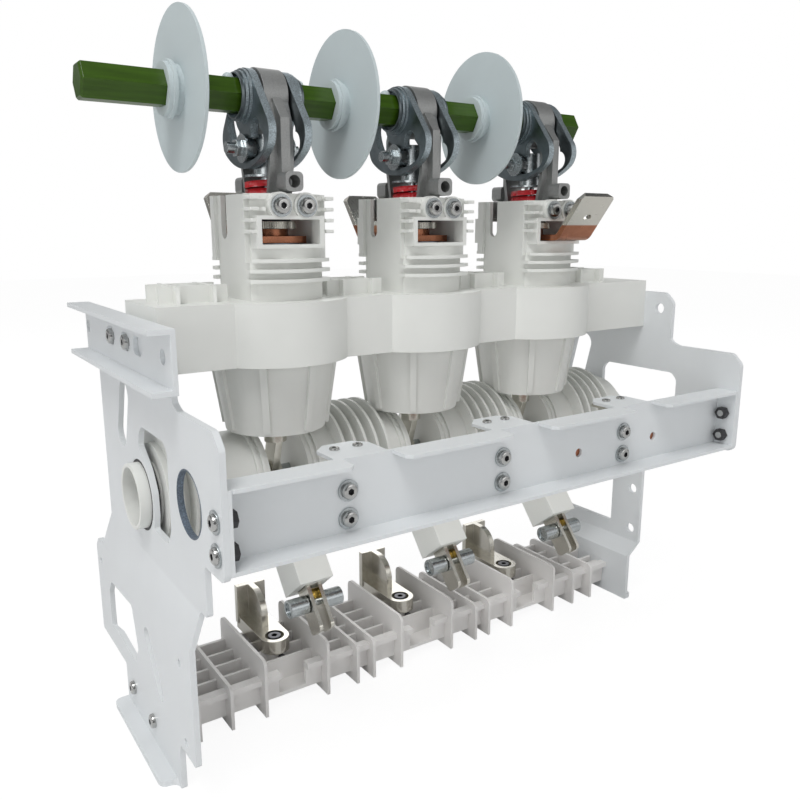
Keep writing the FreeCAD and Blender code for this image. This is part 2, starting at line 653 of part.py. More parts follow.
def round_corners(body, role, spots, radius):
    """Rounds the straight edges that stand on the given sketch points."""
    doc.recompute()
    base = body.Tip
    picked = []
    for number, edge in enumerate(base.Shape.Edges, 1):
        if len(edge.Vertexes) != 2 or edge.Curve.TypeId != "Part::GeomLine":
            continue
        first = edge.Vertexes[0].Point
        second = edge.Vertexes[1].Point
        if role == "YZ_Plane":
            flat = [(p.y, p.z) for p in (first, second)]
            long_way = abs(first.x - second.x)
        elif role == "XZ_Plane":
            flat = [(p.x, p.z) for p in (first, second)]
            long_way = abs(first.y - second.y)
        else:
            flat = [(p.x, p.y) for p in (first, second)]
            long_way = abs(first.z - second.z)
        if long_way < ZERO_LIMIT:
            continue
        for a, b in spots:
            away = max(math.hypot(p[0] - sized(a).value, p[1] - sized(b).value)
                       for p in flat)
            if away < fit_gap.value:
                picked.append("Edge" + str(number))
    if not picked:
        raise RuntimeError("no corner found in " + body.Label)
    item = body.newObject("PartDesign::Fillet", "Corner")
    item.Base = (base, picked)
    bind(item, "Radius", radius)
    return item


def arm_box(x0, x1, across0, across1, out0, out1):
    """A block in the turned frame of the knives; out is measured from the rotor axis."""
    item = doc.addObject("Part::Box", "ArmBlock")
    bind(item, "Length", sized(x1) - x0)
    bind(item, "Width", sized(across1) - across0)
    bind(item, "Height", sized(out1) - out0)
    item.Placement = FreeCAD.Placement(FreeCAD.Vector(), ARM_TURN)
    a = sized(across0)
    b = sized(out0)
    bind(item, "Placement.Base.x", x0)
    bind(item, "Placement.Base.y", rotor_y - a * ARM_COS - b * ARM_SIN)
    bind(item, "Placement.Base.z", rotor_z + a * ARM_SIN - b * ARM_COS)
    return item


def arm_round(radius, length, x, out):
    return cylinder(radius, length, x, rotor_y - sized(out) * ARM_SIN,
                    rotor_z - sized(out) * ARM_COS, "X")


def solid_feature(label, shape):
    item = doc.addObject("Part::Feature", "Solid")
    item.Shape = shape
    item.Label = label
    return item


# the knives point down and forward; local Z runs outward and local X stays along X
ARM_SIN = math.sin(math.radians(-arm_angle.value))
ARM_COS = math.cos(math.radians(-arm_angle.value))
ARM_TURN = FreeCAD.Rotation(FreeCAD.Vector(1, 0, 0), 180 + arm_angle.value)

# main shaft
def hexagon(sketch, across):
    corner = across / root_three
    half = across / 2
    polygon(sketch, [(corner, NONE), (corner / 2, half), (-(corner / 2), half),
                     (-corner, NONE), (-(corner / 2), -half), (corner / 2, -half)])


shaft = new_body("main_shaft")
shaft_profile = new_sketch(shaft, "YZ_Plane", shaft_left)
hexagon(shaft_profile, hex_across)
pad(shaft, shaft_profile, shaft_length)
doc.recompute()
shaft_ends = ["Edge" + str(number)
              for number, edge in enumerate(shaft.Tip.Shape.Edges, 1)
              if abs(edge.Vertexes[0].Point.x - edge.Vertexes[1].Point.x) < ZERO_LIMIT]
shaft_pad = shaft.Tip
shaft_bevel = shaft.newObject("PartDesign::Chamfer", "EndBevel")
shaft_bevel.Base = (shaft_pad, shaft_ends)
bind(shaft_bevel, "Size", shaft_chamfer)
finish(shaft, "main_shaft", z=shaft_height)

for number, spot in enumerate((disc_first, disc_second, disc_third), 1):
    label = "barrier_disc_" + str(number)
    disc = new_body(label)
    profile = new_sketch(disc, "XZ_Plane")
    half = disc_thick / 2
    inner = hex_across / 2 - disc_step
    steps = [(-disc_hub_reach, inner), (-disc_hub_reach, disc_hub_radius),
             (-disc_hub_reach + disc_step, disc_hub_radius),
             (-disc_hub_reach + disc_step, disc_collar_radius),
             (-disc_hub_reach + disc_step * 2, disc_collar_radius),
             (-disc_hub_reach + disc_step * 2, disc_neck_radius),
             (-half, disc_neck_radius), (-half, disc_radius)]
    mirrored = [(-a, b) for a, b in reversed(steps)]
    polygon(profile, steps + mirrored)
    turned = disc.newObject("PartDesign::Revolution", "Turned")
    turned.Profile = profile
    turned.ReferenceAxis = (profile, ["H_Axis"])
    turned.Angle = 360
    bore = new_sketch(disc, "YZ_Plane", -disc_hub_reach - disc_step)
    hexagon(bore, hex_across + touch_gap * 2)
    pocket(disc, bore, disc_hub_reach * 2 + disc_step * 2, True)
    finish(disc, label, x=spot, z=shaft_height)


# cam levers
def yz(y, z, x=0.0):
    return FreeCAD.Vector(x, y, z)


def pin_centre(angle):
    """Centre path of the drive pin in the cheek, measured from straight down."""
    reach = cam_rest.value + cam_rate.value * angle
    turn = math.radians(angle)
    return (-reach * math.sin(turn), -reach * math.cos(turn))


def window_wall(angle, offset):
    reach = cam_rest.value + cam_rate.value * angle
    turn = math.radians(angle)
    slope = math.degrees(cam_rate.value)
    out = (-math.sin(turn), -math.cos(turn))
    round_way = (-math.cos(turn), math.sin(turn))
    norm = math.hypot(reach, slope)
    normal = [(reach * out[k] - slope * round_way[k]) / norm for k in range(2)]
    centre = pin_centre(angle)
    return (centre[0] + normal[0] * offset, centre[1] + normal[1] * offset)


def cheek_outline():
    """Outline of a cheek: hub arc, straight flanks, two lobes, wide bottom arc."""
    hub = cheek_hub_radius.value
    lobe = lobe_radius.value
    out = lobe_out.value
    down = lobe_down.value
    bottom = cheek_bottom.value
    high = (out ** 2 + down ** 2 - (bottom - lobe) ** 2) / (2 * (bottom - lobe - down))
    wide = high + bottom
    reach = math.hypot(out, down)
    lean = math.acos((hub - lobe) / reach)
    toward = math.atan2(-down, -out) + 2 * math.pi
    normal = toward - lean
    hub_point = (hub * math.cos(normal), hub * math.sin(normal))
    lobe_point = (-out + lobe * math.cos(normal), -down + lobe * math.sin(normal))
    side = math.hypot(out, high + down)
    low_point = (-out - lobe * out / side, -down - lobe * (high + down) / side)
    lobe_mid = math.atan2(-down, -out)
    lobe_far = (-out + lobe * math.cos(lobe_mid), -down + lobe * math.sin(lobe_mid))
    edges = [
        Part.Arc(yz(-hub_point[0], hub_point[1]), yz(0, hub), yz(*hub_point)).toShape(),
        Part.makeLine(yz(*hub_point), yz(*lobe_point)),
        Part.Arc(yz(*lobe_point), yz(*lobe_far), yz(*low_point)).toShape(),
        Part.Arc(yz(*low_point), yz(0, -bottom), yz(-low_point[0], low_point[1])).toShape(),
        Part.Arc(yz(-low_point[0], low_point[1]), yz(-lobe_far[0], lobe_far[1]),
                 yz(-lobe_point[0], lobe_point[1])).toShape(),
        Part.makeLine(yz(-lobe_point[0], lobe_point[1]), yz(-hub_point[0], hub_point[1])),
    ]
    return Part.Wire(edges)


def wall_curve(first, last, offset):
    """Spiral wall of the cam window between two angles."""
    points = []
    for step in range(WALL_STEPS + 1):
        angle = first + (last - first) * step / WALL_STEPS
        points.append(yz(*window_wall(angle, offset)))
    curve = Part.BSplineCurve()
    curve.interpolate(points)
    return curve.toShape()


def end_arc(angle, clear, outward):
    """Round end of the cam window about the pin path."""
    centre = pin_centre(angle)
    start = window_wall(angle, clear)
    stop = window_wall(angle, -clear)
    side = (-(start[1] - centre[1]) * outward, (start[0] - centre[0]) * outward)
    far = (centre[0] + side[0], centre[1] + side[1])
    return Part.Arc(yz(*start), yz(*far), yz(*stop)).toShape()


def cheek_window():
    """Cam window: two spiral walls with round ends, and the front pocket."""
    clear = roller_radius.value + part_gap.value
    front = cam_front.value
    back = -cam_back.value
    slot = Part.Face(Part.Wire(Part.__sortEdges__([
        wall_curve(back, front, clear), end_arc(front, clear, -1),
        wall_curve(back, front, -clear), end_arc(back, clear, 1)])))
    turn = math.radians(front)
    reach = pocket_reach.value
    middle = yz(-reach * math.sin(turn), -reach * math.cos(turn))
    pocket_disc = Part.makeCylinder(
        pocket_radius.value, cheek_thick.value, middle, FreeCAD.Vector(1, 0, 0))
    return slot.extrude(FreeCAD.Vector(cheek_thick.value, 0, 0)).fuse(pocket_disc)


def cam_cheek(sign):
    thick = cheek_thick.value
    start = cheek_inner.value
    plate = Part.Face(cheek_outline()).extrude(FreeCAD.Vector(thick, 0, 0))
    plate = plate.cut(cheek_window())
    step = cheek_ring_step.value
    drop = cheek_ring_drop.value
    along = FreeCAD.Vector(1, 0, 0)
    reach = thick
    for index in range(3):
        radius = cheek_hub_radius.value - drop * index - drop / 2
        plate = plate.fuse(Part.makeCylinder(radius, step, yz(0, 0, reach), along))
        reach += step
    flats = Part.makePolygon([
        yz(corner * hex_cut, height * hex_cut)
        for corner, height in HEX_CORNERS] + [yz(hex_cut * HEX_CORNERS[0][0], 0)])
    plate = plate.cut(Part.Face(flats).extrude(FreeCAD.Vector(reach, 0, 0)))
    mouth = Part.makeCylinder(cheek_mouth.value, step * 2, yz(0, 0, reach - step * 2), along)
    plate = plate.cut(mouth)
    plate.translate(FreeCAD.Vector(start, 0, 0))
    if sign < 0:
        plate = plate.mirror(FreeCAD.Vector(), along)
    return plate.removeSplitter()


WALL_STEPS = 12
HEX_CORNERS = [(math.cos(math.radians(60 * k)), math.sin(math.radians(60 * k)))
               for k in range(6)]
hex_cut = hex_corner.value + touch_gap.value * 2
cheeks = Part.makeCompound([cam_cheek(-1), cam_cheek(1)])
for number, pole in enumerate(poles, 1):
    lever = solid_feature("cam_lever_" + str(number), cheeks)
    finish(lever, "cam_lever_" + str(number), x=pole, z=shaft_height)

# bearing brackets
arch_full = arch_half * 2


def side_pad(body, points, half, rings=()):
    """A pad of a side profile, symmetric about the pole plane."""
    profile = new_sketch(body, "YZ_Plane", -sized(half))
    if points:
        polygon(profile, points)
    for a, b, radius in rings:
        ring(profile, a, b, radius)
    return pad(body, profile, sized(half) * 2)


tower_drop = tower_top - shaft_height
for number, pole in enumerate(poles, 1):
    label = "bearing_bracket_" + str(number)
    arch = new_body(label)
    side_pad(arch, [], arch_half, [(NONE, NONE, arch_radius)])
    knee = arch_radius
    low = tower_drop + part_gap
    boss_low = screw_height + hump_radius + part_gap - shaft_height
    for way in (-1, 1):
        side_pad(arch, [(knee * 0.93 * way, -leg_thick), (leg_out * way, -knee),
                        (leg_out * way, low + knee), (leg_foot * way, low),
                        ((leg_foot - leg_thick) * way, low),
                        ((leg_out - leg_thick) * way, low + knee + leg_thick / 2),
                        ((leg_out - leg_thick) * way, -knee - leg_thick / 2),
                        (knee * 0.72 * way, -leg_thick * 3)], arch_half)
        side_pad(arch, [(knee * 0.85 * way, leg_thick * 0.6), (rib_out * way, -knee * 0.8),
                        (rib_out * way, low + knee), (rib_out * way, low + boss_height),
                        (rib_out * way, low), ((leg_foot - leg_thick / 2) * way, low),
                        ((leg_out - leg_thick / 2) * way, low + knee),
                        ((leg_out - leg_thick / 2) * way, -knee),
                        (knee * 0.8 * way, -leg_thick * 2)], rib_half)
        side_pad(arch, [(boss_in * way, boss_low), (boss_out * way, boss_low),
                        (boss_out * way, boss_low + boss_height),
                        (boss_in * way, boss_low + boss_height)], boss_half)
        side_pad(arch, [(foot_in * way, low), (foot_out * way, low),
                        (foot_out * way, low - foot_deep), (foot_in * way, low - foot_deep)],
                 foot_half)
    bore = new_sketch(arch, "YZ_Plane", -arch_full)
    ring(bore, NONE, NONE, bush_radius + fit_gap)
    pocket(arch, bore, arch_full * 2, True)
    boss_hole = new_sketch(arch, "XZ_Plane", boss_out + boss_half)
    ring(boss_hole, NONE, boss_low + boss_height / 2, boss_bore)
    pocket(arch, boss_hole, boss_out + boss_half - boss_in)
    screw_way = new_sketch(arch, "XZ_Plane", boss_out + boss_half)
    for side in (-1, 1):
        ring(screw_way, screw_side * side, screw_height - shaft_height, shank_m6 + touch_gap)
    pocket(arch, screw_way, (boss_out + boss_half) * 2)
    finish(arch, label, x=pole, z=shaft_height)

bushes = []
for pole in poles:
    bush = cylinder(bush_radius, arch_full, pole - arch_half, NONE, NONE, "X")
    hollow = prism(hex_across + touch_gap * 2, arch_full, pole - arch_half, NONE, NONE, "X")
    bushes.append(cut(bush, hollow))
finish(group(bushes), "bearing_bushes", z=shaft_height)

# drive pins and rods
pin_drop = shaft_height - cam_rest
for number, pole in enumerate(poles, 1):
    outer = cheek_inner + cheek_thick + part_gap * 3
    shank = cylinder(pin_radius, pin_right - pin_left, pin_left, NONE, NONE, "X")
    roller_left = cylinder(roller_radius, outer - cheek_inner + part_gap,
                           -outer, NONE, NONE, "X")
    roller_right = cylinder(roller_radius, outer - cheek_inner + part_gap,
                            cheek_inner - part_gap, NONE, NONE, "X")
    finish(fuse([shank, roller_left, roller_right]), "drive_pin_" + str(number),
           x=pole, z=pin_drop)
    washers = []
    for start in (-outer - pin_washer_thick - touch_gap, outer + touch_gap):
        washer = cylinder(pin_washer_radius, pin_washer_thick, start, NONE, NONE, "X")
        hole = cylinder(pin_radius + touch_gap, pin_washer_thick * 3,
                        start - pin_washer_thick, NONE, NONE, "X")
        washers.append(cut(washer, hole))
    nut = prism(pin_nut_across, pin_nut_height,
                -outer - pin_washer_thick - pin_nut_height - touch_gap * 2,
                NONE, NONE, "X")
    nut_hole = cylinder(pin_radius + touch_gap, pin_nut_height * 3,
                        -outer - pin_washer_thick - pin_nut_height * 2, NONE, NONE, "X")
    finish(group(washers + [cut(nut, nut_hole)]), "pin_washers_" + str(number),
           x=pole, z=pin_drop)

    head = cylinder(head_radius, pin_drop - spring_top + head_radius,
                    NONE, NONE, spring_top, "Z")
    eye = cylinder(pin_radius + touch_gap, head_radius * 4, -head_radius * 2, NONE,
                   pin_drop, "X")
    plate = cylinder(plate_radius, plate_thick, NONE, NONE, spring_top, "Z")
    rod = cylinder(rod_radius, spring_top - rod_low + touch_gap, NONE, NONE, rod_low, "Z")
    finish(cut(fuse([head, plate, rod]), eye), "contact_rod_" + str(number), x=pole)

seats = []
knurls = []
collars = []
for pole in poles:
    rod_way = rod_radius + part_gap
    for pile, radius, low, high in (
            (seats, seat_radius, knurl_top + touch_gap, spring_low),
            (knurls, knurl_radius, collar_top + touch_gap, knurl_top),
            (collars, collar_radius, copper_low + copper_thick + touch_gap, collar_top)):
        ring_solid = cylinder(radius, high - low, pole, NONE, low, "Z")
        ring_way = cylinder(rod_way, (high - low) * 3, pole, NONE, low - (high - low), "Z")
        pile.append(cut(ring_solid, ring_way))
finish(group(seats), "spring_seats")
finish(group(knurls), "knurled_collars")
finish(group(collars), "copper_collars")


def flat_spring():
    """Coil spring of flat strip between the seat and the spring plate."""
    height = spring_top.value - spring_low.value - 2 * part_gap.value
    outer = spring_radius.value
    inner = outer - spring_strip.value
    turns = spring_turns.value
    strip = spring_high.value
    pitch = (height - strip) / turns
    middle = (outer + inner) / 2
    path = Part.makeHelix(pitch, pitch * turns, middle)
    section = Part.makePolygon([
        FreeCAD.Vector(inner, 0, -strip / 2), FreeCAD.Vector(outer, 0, -strip / 2),
        FreeCAD.Vector(outer, 0, strip / 2), FreeCAD.Vector(inner, 0, strip / 2),
        FreeCAD.Vector(inner, 0, -strip / 2)])
    return Part.Wire(path).makePipeShell([section], True, True)


coil = flat_spring()
for number, pole in enumerate(poles, 1):
    spring = solid_feature("contact_spring_" + str(number), coil)
    finish(spring, "contact_spring_" + str(number), x=pole,
           z=spring_low + part_gap + spring_high / 2)

# insulating housing
CORNER_RIBS = 4
TOWER_SHEDS = 3


def in_order(first, second):
    """Two lengths with the smaller one first."""
    first = sized(first)
    second = sized(second)
    return (first, second) if first.value < second.value else (second, first)


solids = []
voids = []
bar = box(left_inner + touch_gap, right_inner - touch_gap, -bar_half, bar_half, bar_low, bar_top)
solids.append(bar)
span = bar_top - bar_low
for pole in poles:
    solids.append(cylinder(bulge_radius, span, pole, NONE, bar_low, "Z"))
    column = cylinder(tower_radius, tower_top - bar_top + touch_gap, pole, NONE,
                      bar_top - touch_gap, "Z")
    slab = box(pole - tower_half, pole + tower_half, -tower_radius * 2, tower_radius * 2,
               bar_top - touch_gap, tower_top)
    solids.append(common([column, slab]))
    hollow = cylinder(tower_radius - tower_wall, tower_top - bar_low + span, pole, NONE,
                      bar_low - touch_gap, "Z")
    hollow_slab = box(pole - tower_half + tower_wall, pole + tower_half - tower_wall,
                      -tower_radius * 2, tower_radius * 2, bar_low - span, tower_top + span)
    voids.append(common([hollow, hollow_slab]))
    ribs = []
    for level in range(CORNER_RIBS):
        ribs.append(cylinder(corner_reach, rib_thick, pole, NONE,
                             rib_low + rib_pitch * level, "Z"))
    rib_zones = []
    shed_zones = []
    for way in (-1, 1):
        y0, y1 = in_order(frame_out * way, frame_in * way)
        solids.append(box(pole + window_shift - frame_half, pole + window_shift + frame_half,
                          y0, y1, window_low - rib_thick, window_high + rib_thick))
        hump_deep = frame_out - tower_radius + tower_wall * 2
        h0 = -frame_out if way < 0 else frame_out - hump_deep
        s0, s1 = in_order((frame_out + tower_wall) * way, NONE)
        w0, w1 = in_order((frame_out + tower_wall) * way, foot_in * way)
        for side in (-1, 1):
            spot = pole + screw_side * side
            solids.append(cylinder(hump_radius, hump_deep, spot, h0, screw_height, "Y"))
            voids.append(cylinder(shank_m6 + touch_gap, s1 - s0, spot, s0, screw_height, "Y"))
            x0, x1 = in_order(corner_out * side, (corner_out - corner_thick) * side)
            c0, c1 = in_order(corner_front * way, corner_back * way)
            solids.append(box(pole + x0, pole + x1, c0, c1, corner_low, tower_top))
            r0, r1 = in_order(corner_inner * side, corner_out * side)
            z0, z1 = in_order(corner_reach * way, corner_back * way)
            rib_zones.append(box(pole + r0, pole + r1, z0, z1, rib_low - rib_thick,
                                 tower_top + rib_thick))
        voids.append(box(pole + window_shift - window_half, pole + window_shift + window_half,
                         w0, w1, window_low, window_high))
        d0, d1 = in_order(shed_radius * way, corner_back * way)
        shed_zones.append(box(pole - shed_half, pole + shed_half, d0, d1, shed_low - shed_thick,
                              shed_low + shed_pitch * TOWER_SHEDS))
    solids.append(common([fuse(ribs), fuse(rib_zones)]))
    sheds = []
    for level in range(TOWER_SHEDS):
        sheds.append(cylinder(shed_radius, shed_thick, pole, NONE,
                              shed_low + shed_pitch * level, "Z"))
    solids.append(common([fuse(sheds), fuse(shed_zones)]))
    side_slot = box(pole - tower_half - tower_wall, pole - tower_half + tower_wall * 2,
                    slot_middle - slot_half, slot_middle + slot_half,
                    slot_low + slot_half, tower_top + span)
    slot_end = cylinder(slot_half, tower_wall * 3, pole - tower_half - tower_wall, slot_middle,
                        slot_low + slot_half, "X")
    voids.append(side_slot)
    voids.append(slot_end)
    cup = cone(cup_low_radius, cup_top_radius, bar_low - cup_low + touch_gap, pole, NONE, cup_low)
    solids.append(cup)
    for turn in range(4):
        fin = box(-cup_top_radius - cup_rib_reach, cup_top_radius + cup_rib_reach,
                  -cup_rib_half, cup_rib_half, cup_low + rib_thick, bar_low + touch_gap)
        taper = cone(cup_low_radius + cup_rib_reach, cup_top_radius + cup_rib_reach,
                     bar_low - cup_low - rib_thick + touch_gap, NONE, NONE, cup_low + rib_thick)
        blade = common([fin, taper])
        blade.Placement = FreeCAD.Placement(
            FreeCAD.Vector(), FreeCAD.Rotation(FreeCAD.Vector(0, 0, 1), 45 * turn + 11))
        bind(blade, "Placement.Base.x", pole)
        solids.append(blade)
    voids.append(cone(cup_low_radius - cup_wall, cup_top_radius - cup_wall,
                      bar_low - cup_low, pole, NONE, cup_low + cup_wall))
    voids.append(cylinder(chamber_radius + chamber_gap, chamber_step - bar_low + cup_wall * 2,
                          pole, NONE, bar_low - cup_wall, "Z"))
    voids.append(cylinder(terminal_radius + part_gap, cup_wall * 4, pole + knife_shift,
                          terminal_y, cup_low - cup_wall, "Z"))
stations = (-pole_pitch * 1.5, -pole_pitch / 2, pole_pitch / 2, pole_pitch * 1.5)
for spot in stations:
    for side in (-1, 1):
        solids.append(box(spot - grid_side * 1.9, spot + grid_side * 1.9,
                          grid_side * side - grid_thick / 2, grid_side * side + grid_thick / 2,
                          bar_top - touch_gap, bar_top + grid_height))
        solids.append(box(spot + grid_side * side - grid_thick / 2,
                          spot + grid_side * side + grid_thick / 2,
                          -grid_side * 1.6, grid_side * 1.6,
                          bar_top - touch_gap, bar_top + grid_height))
finish(cut(fuse(solids), fuse(voids)), "insulating_housing")

# vacuum chambers
chambers = []
for pole in poles:
    wide = cylinder(chamber_radius, chamber_step - chamber_low, pole, NONE, chamber_low, "Z")
    narrow = cylinder(chamber_neck, chamber_top - chamber_step + touch_gap, pole, NONE,
                      chamber_step - touch_gap, "Z")
    rod_hole = cylinder(rod_radius + part_gap, chamber_top - chamber_step, pole, NONE,
                        chamber_step + chamber_gap, "Z")
    chambers.append(cut(fuse([wide, narrow]), rod_hole))
finish(group(chambers), "vacuum_chambers")

lugs = []
for pole in poles:
    lug = new_body("LowerTerminal")
    profile = new_sketch(lug, "YZ_Plane", -tongue_half)
    polygon(profile, [(terminal_y - terminal_radius * 0.8, terminal_low + terminal_radius),
                      (terminal_y - terminal_radius * 0.8, terminal_low),
                      (rotor_y - tongue_wide, rotor_z), (rotor_y + tongue_wide, rotor_z),
                      (terminal_y + terminal_radius * 0.8, terminal_low + terminal_radius)])
    pad(lug, profile, tongue_half * 2)
    side_pad(lug, [], tongue_half, [(rotor_y, rotor_z, tongue_wide + tongue_half / 6)])
    stud = new_sketch(lug, "XY_Plane", terminal_low)
    ring(stud, NONE, terminal_y, terminal_radius)
    pad(lug, stud, chamber_low - terminal_low - touch_gap)
    pivot_hole = new_sketch(lug, "YZ_Plane", -tongue_half * 2)
    ring(pivot_hole, rotor_y, rotor_z, pivot_radius + fit_gap)
    pocket(lug, pivot_hole, tongue_half * 4, True)
    bind(lug, "Placement.Base.x", pole + knife_shift)
    lugs.append(lug)
finish(group(lugs), "lower_terminals")

# upper terminals
lean_turn = math.degrees(math.atan2(tip_high.value - copper_low.value - copper_thick.value,
                                    tip_out.value - copper_bend.value))
for number, pole, way in ((1, poles[0], 1), (2, poles[1], 1), (3, poles[2], -1)):
    label = "upper_terminal_" + str(number)
    strap = new_body(label)
    profile = new_sketch(strap, "YZ_Plane", copper_shift - bar_wide)
    inner_bend = (copper_bend * way, copper_low + copper_thick)
    outer_bend = ((copper_bend + bend_lead) * way, copper_low)
    polygon(profile, [(-strap_back * way, copper_low), outer_bend,
                      ((tip_out + tip_lead) * way, tip_high - tip_drop),
                      (tip_out * way, tip_high), inner_bend,
                      (-strap_back * way, copper_low + copper_thick)])
    pad(strap, profile, bar_wide * 2)
    round_corners(strap, "YZ_Plane", [inner_bend], bend_in_round)
    round_corners(strap, "YZ_Plane", [outer_bend], bend_out_round)
    corner_cut = new_sketch(strap, "XZ_Plane",
                            -copper_bend if way > 0 else tip_out + tip_lead * 2)
    for side in (-1, 1):
        edge = copper_shift + bar_wide * side
        polygon(corner_cut, [(edge - tip_round * side, tip_high + tip_drop),
                             (edge + tip_drop * side, tip_high + tip_drop),
                             (edge + tip_drop * side, tip_high - tip_round),
                             (edge, tip_high - tip_round),
                             (edge - tip_round * side, tip_high)])
    pocket(strap, corner_cut, tip_out + tip_lead * 2 - copper_bend)
    rod_pass = new_sketch(strap, "XY_Plane", copper_low - copper_thick)
    ring(rod_pass, NONE, NONE, rod_radius + part_gap)
    pocket(strap, rod_pass, copper_thick * 4, True)
    bolt_hole = new_sketch(strap, "XZ_Plane")
    bolt_hole.AttachmentOffset = FreeCAD.Placement(
        FreeCAD.Vector(), FreeCAD.Rotation(FreeCAD.Vector(1, 0, 0), -lean_turn * way))
    bind(bolt_hole, "AttachmentOffset.Base.y", (copper_low + copper_thick + tip_high) / 2 + lean_shift)
    bind(bolt_hole, "AttachmentOffset.Base.z", -(copper_bend + tip_out) / 2 * way)
    ring(bolt_hole, knife_shift, NONE, tip_hole)
    through = pocket(strap, bolt_hole, copper_thick * 2)
    through.Midplane = True
    finish(strap, label, x=pole)

# side plates


def sheet_pad(body, role, offset, thick, points, holes=()):
    """A flat sheet with polygon windows, pushed off from a plane of the body."""
    profile = new_sketch(body, role, offset)
    polygon(profile, points)
    for hole in holes:
        polygon(profile, hole)
    return pad(body, profile, thick)


def drill(body, role, offset, depth, rings=(), slots=()):
    profile = new_sketch(body, role, offset)
    for a, b, radius in rings:
        ring(profile, a, b, radius)
    for a0, b0, a1, b1, radius in slots:
        long_hole(profile, a0, b0, a1, b1, radius)
    return pocket(body, profile, depth, True)


def top_outline(front, low):
    return [(front, low), (front, lobe_low), (lobe_front + corner_small, lobe_low),
            (lobe_front, lobe_low + corner_small), (lobe_front, lobe_top - corner_big),
            (lobe_front + corner_big, lobe_top), (plate_step - corner_big, lobe_top),
            (plate_step, lobe_top + corner_small), (plate_step, plate_top - corner_big),
            (plate_step + corner_big, plate_top), (plate_back, plate_top), (plate_back, low)]


left_plate = new_body("side_plate_left")
sheet_pad(left_plate, "YZ_Plane", left_outer, sheet_thick,
          top_outline(left_waist, left_bend_top), [
    [(rotor_y - 66, rotor_z - 6), (rotor_y - 67, rotor_z + 48), (rotor_y - 60, rotor_z + 54),
     (rotor_y - 12, rotor_z + 54), (rotor_y - 4, rotor_z + 48), (rotor_y - 1, rotor_z + 38),
     (rotor_y - 20, rotor_z + 24), (rotor_y - 29.5, rotor_z + 9),
     (rotor_y - 30, rotor_z - 8), (rotor_y - 27, rotor_z - 18),
     (rotor_y - 58, rotor_z - 19)]])
sheet_pad(left_plate, "YZ_Plane", left_low_outer, sheet_thick, [
    (left_low_front, left_bend_low), (left_low_front, left_nose_high),
    (left_foot_front - corner_small, left_nose_high), (left_foot_front, left_nose_high - corner_big),
    (left_foot_front, NONE), (left_step_back, NONE), (left_step_back, left_step_high),
    (left_low_back, left_step_high), (left_low_back, left_bend_low - corner_big),
    (left_low_back - corner_big, left_bend_low)], [
    [(94, 94), (103, 82), (103, 49), (80, 54), (33, 50), (23, 66), (34, 98)]])
left_front_bend = new_sketch(left_plate, "XZ_Plane", -plate_back)
polygon(left_front_bend, [
    (left_low_outer, left_bend_low), (left_low_inner, left_bend_low),
    (left_inner, left_bend_top), (left_outer, left_bend_top)])
pad(left_plate, left_front_bend, plate_back - left_low_front)
drill(left_plate, "YZ_Plane", left_low_outer - sheet_thick, sheet_thick * 7, [
    (rotor_y, rotor_z, ring_radius + bush_wall),
    (port_y, port_z, port_radius),
    (beam_bolt_y, beam_bolt_high, shank_m6 + touch_gap),
    (beam_bolt_y, beam_bolt_low, shank_m6 + touch_gap),
    (-78, 104, shank_m6), (-82, 47, shank_m6), (124, 102, shank_m6),
    (ins_screw_back, ins_screw_low, shank_m6 + touch_gap),
    (ins_screw_front, ins_screw_high, shank_m6 + touch_gap),
    (channel_screw_first, channel_screw_high, shank_m6 + touch_gap),
    (channel_screw_first - channel_screw_pitch, channel_screw_high, shank_m6 + touch_gap)],
    [(44, 262, 56, 231, 11), (-4, 90, -30, 56, 6)])
foot = new_sketch(left_plate, "XY_Plane")
polygon(foot, [(left_low_outer - foot_reach, left_foot_front + corner_big),
               (left_low_outer + touch_gap, left_foot_front + corner_big),
               (left_low_outer + touch_gap, left_step_back),
               (left_low_outer - foot_reach, left_step_back)])
pad(left_plate, foot, sheet_thick)
finish(left_plate, "side_plate_left")

right_plate = new_body("side_plate_right")
sheet_pad(right_plate, "YZ_Plane", right_inner, sheet_thick,
          top_outline(right_waist, right_bend_top), [
    [(-73, 211), (-79, 217), (-79, 240), (-73, 246), (7, 246), (13, 240), (13, 223),
     (-3, 216), (-9, 211)],
    [(-10, 74), (-10, 136), (78, 136), (78, 74)]])
sheet_pad(right_plate, "YZ_Plane", right_low_inner, sheet_thick, [
    (right_waist, right_bend_low), (right_waist, NONE), (left_step_back, NONE),
    (left_step_back, right_bend_low)])
right_bend = new_sketch(right_plate, "XZ_Plane", -left_step_back)
polygon(right_bend, [
    (right_low_inner, right_bend_low), (right_low_outer, right_bend_low),
    (right_outer, right_bend_top), (right_inner, right_bend_top)])
pad(right_plate, right_bend, left_step_back - right_waist)
drill(right_plate, "YZ_Plane", right_low_inner - sheet_thick, sheet_thick * 9, [
    (rotor_y, rotor_z, ring_radius + bush_wall),
    (-54, 307, channel_hole), (-36, 117, channel_hole), (-36, 73, channel_hole),
    (beam_bolt_y, beam_bolt_high, shank_m6 + touch_gap),
    (beam_bolt_y, beam_bolt_low, shank_m6 + touch_gap),
    (ins_screw_back, ins_screw_low, shank_m6 + touch_gap),
    (ins_screw_front, ins_screw_high, shank_m6 + touch_gap)],
    [(42, 262, 50, 229, 11)])
right_foot = new_sketch(right_plate, "XY_Plane")
polygon(right_foot, [(right_low_outer - touch_gap, right_waist),
                     (right_low_outer + foot_reach * 0.6, right_waist),
                     (right_low_outer + foot_reach * 0.6, left_step_back),
                     (right_low_outer - touch_gap, left_step_back)])
pad(right_plate, right_foot, sheet_thick)
finish(right_plate, "side_plate_right")

